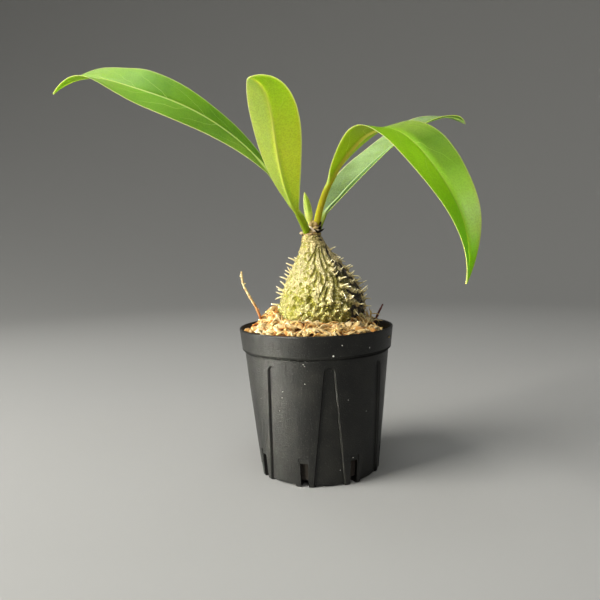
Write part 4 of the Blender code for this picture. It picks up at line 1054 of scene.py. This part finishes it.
def makeLeaf(name, shape):
    rows, blade, ribThick, stalkHalf = (shape[key] for key in ("rows", "blade", "ribThick", "stalkHalf"))
    fold = math.radians(shape["fold"])
    # stations along the midrib; the first ones run back into the stem
    spot = Vector(shape["base"])
    run, side, face = leafDirections(shape, 0.0)
    first = spot + Vector(shape["shift"])
    stations = [(0.0, first - run * 2.2, side, face), (0.0, first - run * 2.1, side, face)]
    for row in range(rows - 2):
        share = row / (rows - 3)
        _, side, face = leafDirections(shape, share)
        shift = Vector(shape["shift"]) * (1 - ramp(0.03, 0.3, share))
        stations.append((share, spot + shift, side, face))
        spot += leafDirections(shape, share + 0.5 / (rows - 3))[0] * shape["length"] / (rows - 3)
    stations.append((1.0, stations[-1][1] + leafDirections(shape, 1.0)[0] * 0.15, side, face))
    bm, marks = newShape("across", "along", "upper", "fromRib", "toEdge")

    def placeLeaf(u, v):
        row = round(v * rows)
        share, middle, side, face = stations[row]
        if row in (0, rows):
            return middle, (0.0, share, 0.5, 0.0, 0.0)
        angle = 2 * math.pi * u
        bare = -math.cos(angle)
        across = math.copysign(abs(bare) ** 1.4, bare)
        above = math.sin(angle) >= 0
        half = leafHalfWidth(shape, share)
        x = across * half
        # on a leaf that's turned on its midrib one half is broader
        offset = shape["ribShift"] * ramp(0.04, 0.15, share)
        fromMid = (across - offset) / (1 - offset if across > offset else 1 + offset)
        fromRib = x - offset * half
        away = abs(fromMid)
        edge = math.sqrt(max(1 - away ** 8, 0.0))
        rib = blade + (ribThick - blade) * (1 - share) ** 1.4
        # gentle waves of the margin and bulges between the side veins
        whichHalf = 3.0 * math.copysign(1, fromMid)
        wave = shape["wave"] * grain(share * shape["length"] / 17.0, whichHalf, shape["seed"])
        wave *= away ** 2 * ramp(0.15, 0.35, share) * min(half / 6.0, 1.0)
        phase = (share - 0.2 * away ** 1.5) * shape["veins"] + (0.43 if fromMid > 0 else 0.0)
        bulge = -0.045 * math.cos(2 * math.pi * phase) * ramp(0.04, 0.2, away) * (1 - ramp(0.7, 0.95, away))
        lift = half * away ** 1.25 * math.sin(fold) + wave + bulge * min(half / 8.0, 1.0)
        if above:
            high = lift - 0.38 * math.exp(-(fromRib / 0.75) ** 2) * edge * ramp(1.5, 5.0, half)
        else:
            ribWidth = 0.5 + 0.75 * (1 - share)
            high = lift - blade * edge - (rib - blade) * math.exp(-(fromRib / ribWidth) ** 2) * edge
        # towards the stem the section turns into a round petiole
        roundness = 1 - ramp(stalkHalf * 1.02, stalkHalf * 2.4, half)
        roundness *= 1 - ramp(0.2, 0.45, share)
        bow = math.sqrt(max(1 - bare ** 2, 0.0))
        if roundness > 0:
            x = (across + (bare - across) * roundness) * half
            stalkHigh = rib * (0.12 if above else -0.95) * bow
            high += (stalkHigh - high) * roundness
        place = middle + side * (x * math.cos(fold * (1 - roundness))) + face * high
        whichFace = 0.5 if away > 0.999 else float(above)
        return place, (fromMid, share, whichFace, abs(fromRib), half * (1 - away) * edge)

    wrapGrid(bm, shape["around"], rows, placeLeaf, marks)
    finishPiece(name + "_blade", bm, waxyLeaf(name + "_cuticle", shape), [name])


def dryPlantFibre(name, foot, tip, streak):
    # dead moss stem or twig: dry, dull and streaked along its length, with darker nubs
    material, tree, shader, spot = newMaterial(name, {"Roughness": 0.7})
    along = addNode(tree, "Attribute", out="Fac", attribute_name="along")
    fleck = addNode(tree, "TexNoise", {"Vector": spot, "Scale": 0.8, "Detail": 3.0})
    bleached = addNode(tree, "MapRange", (along, 0.12, 0.55))
    base = addNode(tree, "Mix", {0: bleached, 6: foot, 7: tip}, **colourMix)
    share = addNode(tree, "MapRange", (fleck, 0.45, 0.7, 0.0, 0.8))
    colour = addNode(tree, "Mix", {0: share, 6: base, 7: streak}, **colourMix)
    bump = addNode(tree, "Bump", {"Height": fleck, "Strength": 0.6, "Distance": 0.0002})
    plug(tree, shader, {"Base Color": colour, "Normal": bump})
    return material


# path in the moss and out of it, radii at foot and tip, nubs as (row, way), colours of foot, tip and streaks
rodShapes = {
    "straw_stalk": {
        "path": ((-26.2, -1.0, 70.5), (-27.6, -1.5, 76.5), (-29.6, -2.0, 81.5), (-32.4, -2.0, 86.5),
                 (-34.8, -1.0, 91.0), (-35.9, 1.0, 94.8), (-36.3, 3.0, 98.4)),
        "radii": (0.74, 0.52),
        "nubs": ((20, (-1, -0.3, 0.4)), (31, (1, -0.2, 0.5)), (11, (0.9, -0.4, 0.4)), (38, (-0.9, 0.1, 0.6))),
        "fibre": ("dry_moss_stalk", "#b4682a", "#d9c48c", "#7c4a20"), "slot": "straw", "node": "moss_stalk",
    },
    "rusty_twig": {
        "path": ((27.6, -0.6, 66.5), (28.7, -0.3, 71.2), (30.6, 0.2, 75.6), (33.2, 0.4, 80.6)),
        "radii": (0.75, 0.4),
        "nubs": ((25, (0.8, -0.4, 0.5)),),
        "fibre": ("dark_twig_bark", "#3a1712", "#5e2a20", "#200c0a"), "slot": "twig", "node": "dark_twig",
    },
}


def makeRod(name, shape):
    bm, marks = newShape("along")
    rows = 44
    foot, tip = shape["radii"]
    points = [Vector([smooth([point[axis] for point in shape["path"]], k / rows) for axis in range(3)])
              for k in range(rows + 1)]
    thick = [(foot + (tip - foot) * k / rows) * (1 + 0.22 * grain(k * 0.31, 7.0, foot * 9))
             for k in range(rows + 1)]
    wrapTube(bm, points, [0.0] + thick[1:-1] + [0.0], 10, marks, ("along",), facing=(0.1, 1.0, 0.2))
    for row, way in shape["nubs"]:
        start, way = points[row], Vector(way).normalized()
        wrapTube(bm, [start, start + way * 0.7, start + way * 1.1 + Vector((0, 0, 0.1)), start + way * 1.4],
                 [0.4, 0.32, 0.2, 0.0], 6, marks, (row / rows,), facing=(0.1, 1.0, 0.2))
    finishPiece(name, bm, dryPlantFibre(*shape["fibre"]), [shape["node"]])


# specks as degrees from the camera's side towards +X, height, size
dustShape = {"seed": 21, "flatten": (1.0, 0.6, 0.85), "specks": (
    (11.4, 62.0, 0.46), (17.6, 66.5, 0.34), (40.0, 64.0, 0.3), (-9.8, 58.3, 0.3), (-9.0, 57.5, 0.26),
    (-9.3, 49.4, 0.26), (-27.5, 45.3, 0.22), (-28.5, 42.4, 0.22), (-32.0, 36.0, 0.2), (24.0, 41.0, 0.22),
    (42.0, 34.0, 0.2), (-52.0, 40.0, 0.2), (30.0, 13.0, 0.28), (18.0, 8.0, 0.2), (130.0, 55.0, 0.3),
    (170.0, 30.0, 0.26), (215.0, 64.0, 0.3), (262.0, 48.0, 0.24),
)}


def chalkyDust():
    # perlite dust from the potting bench: bright, dry and matte, off-white with faint grey
    material, tree, shader, spot = newMaterial("perlite_dust", {"Roughness": 0.9})
    fleck = addNode(tree, "TexNoise", {"Vector": spot, "Scale": 2.0})
    colour = addNode(tree, "ValToRGB", (fleck,), stops=((0.3, "#bcbab2"), (0.7, "#f2f0ea")))
    plug(tree, shader, {"Base Color": colour})
    return material


def makeDust():
    bm = bmesh.new()
    rng = random.Random(dustShape["seed"])
    for degrees, z, size in dustShape["specks"]:
        turn = math.radians(degrees)
        radius = outerRadius(z) if z < potShape["rimFoot"] else (
            potShape["rimFootRadius"] + (z - potShape["rimFoot"]) / 10.5 * 1.1)
        made = bmesh.ops.create_icosphere(bm, subdivisions=1, radius=size)["verts"]
        for vert in made:
            vert.co *= rng.uniform(0.8, 1.15)
        bmesh.ops.scale(bm, vec=dustShape["flatten"], verts=made)
        bmesh.ops.translate(bm, vec=(0, -radius - 0.25 * size, z), verts=made)
        bmesh.ops.rotate(bm, verts=made, cent=(0, 0, 0), matrix=Matrix.Rotation(turn, 3, "Z"))
    finishPiece("dust_specks", bm, chalkyDust())


stageShape = {"flat": 800.0, "bend": 900.0, "top": 2600.0, "paper": "#9a9a98"}


def makeStage():
    # a wide shallow bowl of seamless paper, so that floor and background meet without a line
    flat, bend = stageShape["flat"], stageShape["bend"]
    profile = [(0.0, 0.0), (flat / 2, 0.0), (flat, 0.0)]
    for k in range(1, 19):
        angle = math.pi / 2 * k / 18
        profile.append((flat + bend * math.sin(angle), bend - bend * math.cos(angle)))
    bm = spinProfile(profile + [(flat + bend, stageShape["top"])], 96, 0.01)
    sweep = meshObject("paper_sweep", bm, bpy.context.scene.collection)
    sweep.data.flip_normals()
    sweep.data.shade_smooth()
    paper = newMaterial("seamless_paper", {"Base Color": stageShape["paper"], "Roughness": 0.9})[0]
    sweep.data.materials.append(paper)
    print("laid the paper")


# lamps in metres, metre size, watts and degrees: turn 0 is at the camera's side and grows towards +X
# the low row of strips with grids gives the pot its sheen and leaves the plant to the window
strip = {"name": "low_strip", "rise": 0, "away": 0.9, "size": (0.3, 0.07), "watts": 0.13,
         "colour": (1.0, 0.985, 0.86), "aim": 0.026, "spread": 12.0}
lightShape = {
    "room": "#f0f1f4", "glow": 0.02,
    "lamps": (
        {"name": "window", "turn": -67, "rise": 36, "away": 1.0, "size": (0.55, 0.9), "watts": 18.6,
         "colour": (1.0, 0.98, 0.93)},
        {"name": "room_fill", "turn": 14, "rise": 34, "away": 1.2, "size": (0.6, 0.6), "watts": 2.1,
         "colour": (1.0, 0.98, 0.94)},
        {**strip, "turn": -56}, {**strip, "turn": -72}, {**strip, "turn": -88},
        {"name": "skylight", "turn": 10, "rise": 80, "away": 1.2, "size": (0.6, 0.6), "watts": 5.0,
         "colour": (0.97, 0.99, 1.0)},
    ),
}


def makeLights():
    scene = bpy.context.scene
    scene.view_settings.view_transform = "Standard"
    scene.world = bpy.data.worlds.new("soft_room")
    scene.world.use_nodes = True
    plug(scene.world.node_tree, scene.world.node_tree.nodes["Background"],
         {"Color": lightShape["room"], "Strength": lightShape["glow"]})
    for lamp in lightShape["lamps"]:
        light = bpy.data.lights.new(lamp["name"], "AREA")
        light.spread = math.radians(lamp.get("spread", 180.0))
        light.shape, (light.size, light.size_y) = "RECTANGLE", lamp["size"]
        light.energy, light.color = lamp["watts"], lamp["colour"]
        turn, rise = math.radians(lamp["turn"]), math.radians(lamp["rise"])
        target = Vector((0.0, 0.0, lamp.get("aim", 0.10)))
        place = Vector((math.sin(turn) * math.cos(rise), -math.cos(turn) * math.cos(rise), math.sin(rise)))
        place = place * lamp["away"] + target
        made = bpy.data.objects.new(lamp["name"], light)
        facing = (target - place).to_track_quat("-Z", "Y").to_matrix().to_4x4()
        made.matrix_world = Matrix.Translation(place) @ facing
        made.visible_camera = False
        scene.collection.objects.link(made)
    print("hung", len(lightShape["lamps"]), "lamps")


# place in metres, angles in radians, focal length and picture width in pixels, width of the sensor in mm
cameraShape = {"place": (0.0, -0.290, 0.111), "pitch": 0.0945, "yaw": -0.026, "roll": -0.028,
               "focal": 592.0, "pixels": 600, "sensor": 36}


def makeCamera():
    camera = bpy.data.cameras.new("camera")
    camera.sensor_width = cameraShape["sensor"]
    camera.lens = cameraShape["focal"] / cameraShape["pixels"] * cameraShape["sensor"]
    camera.clip_start = 0.01
    pitch, yaw, roll = (cameraShape[key] for key in ("pitch", "yaw", "roll"))
    ahead = Vector((math.sin(yaw) * math.cos(pitch), math.cos(yaw) * math.cos(pitch), -math.sin(pitch)))
    right = Vector((math.cos(yaw), -math.sin(yaw), 0.0))
    up = right.cross(ahead)
    tiltedRight = right * math.cos(roll) + up * math.sin(roll)
    tiltedUp = up * math.cos(roll) - right * math.sin(roll)
    turned = Matrix((tiltedRight, tiltedUp, -ahead)).transposed().to_4x4()
    turned.translation = cameraShape["place"]
    eye = bpy.data.objects.new("camera", camera)
    eye.matrix_world = turned
    bpy.context.scene.collection.objects.link(eye)
    bpy.context.scene.camera = eye
    print("placed the camera")


makeLights()
makeCamera()
makeStage()
makePot()
makeMoss()
makeCaudex()
makeStem()
for leafName, leafShape in leafShapes.items():
    makeLeaf(leafName, {**plainLeaf, **leafShape})
for rodName, rodShape in rodShapes.items():
    makeRod(rodName, rodShape)
makeDust()
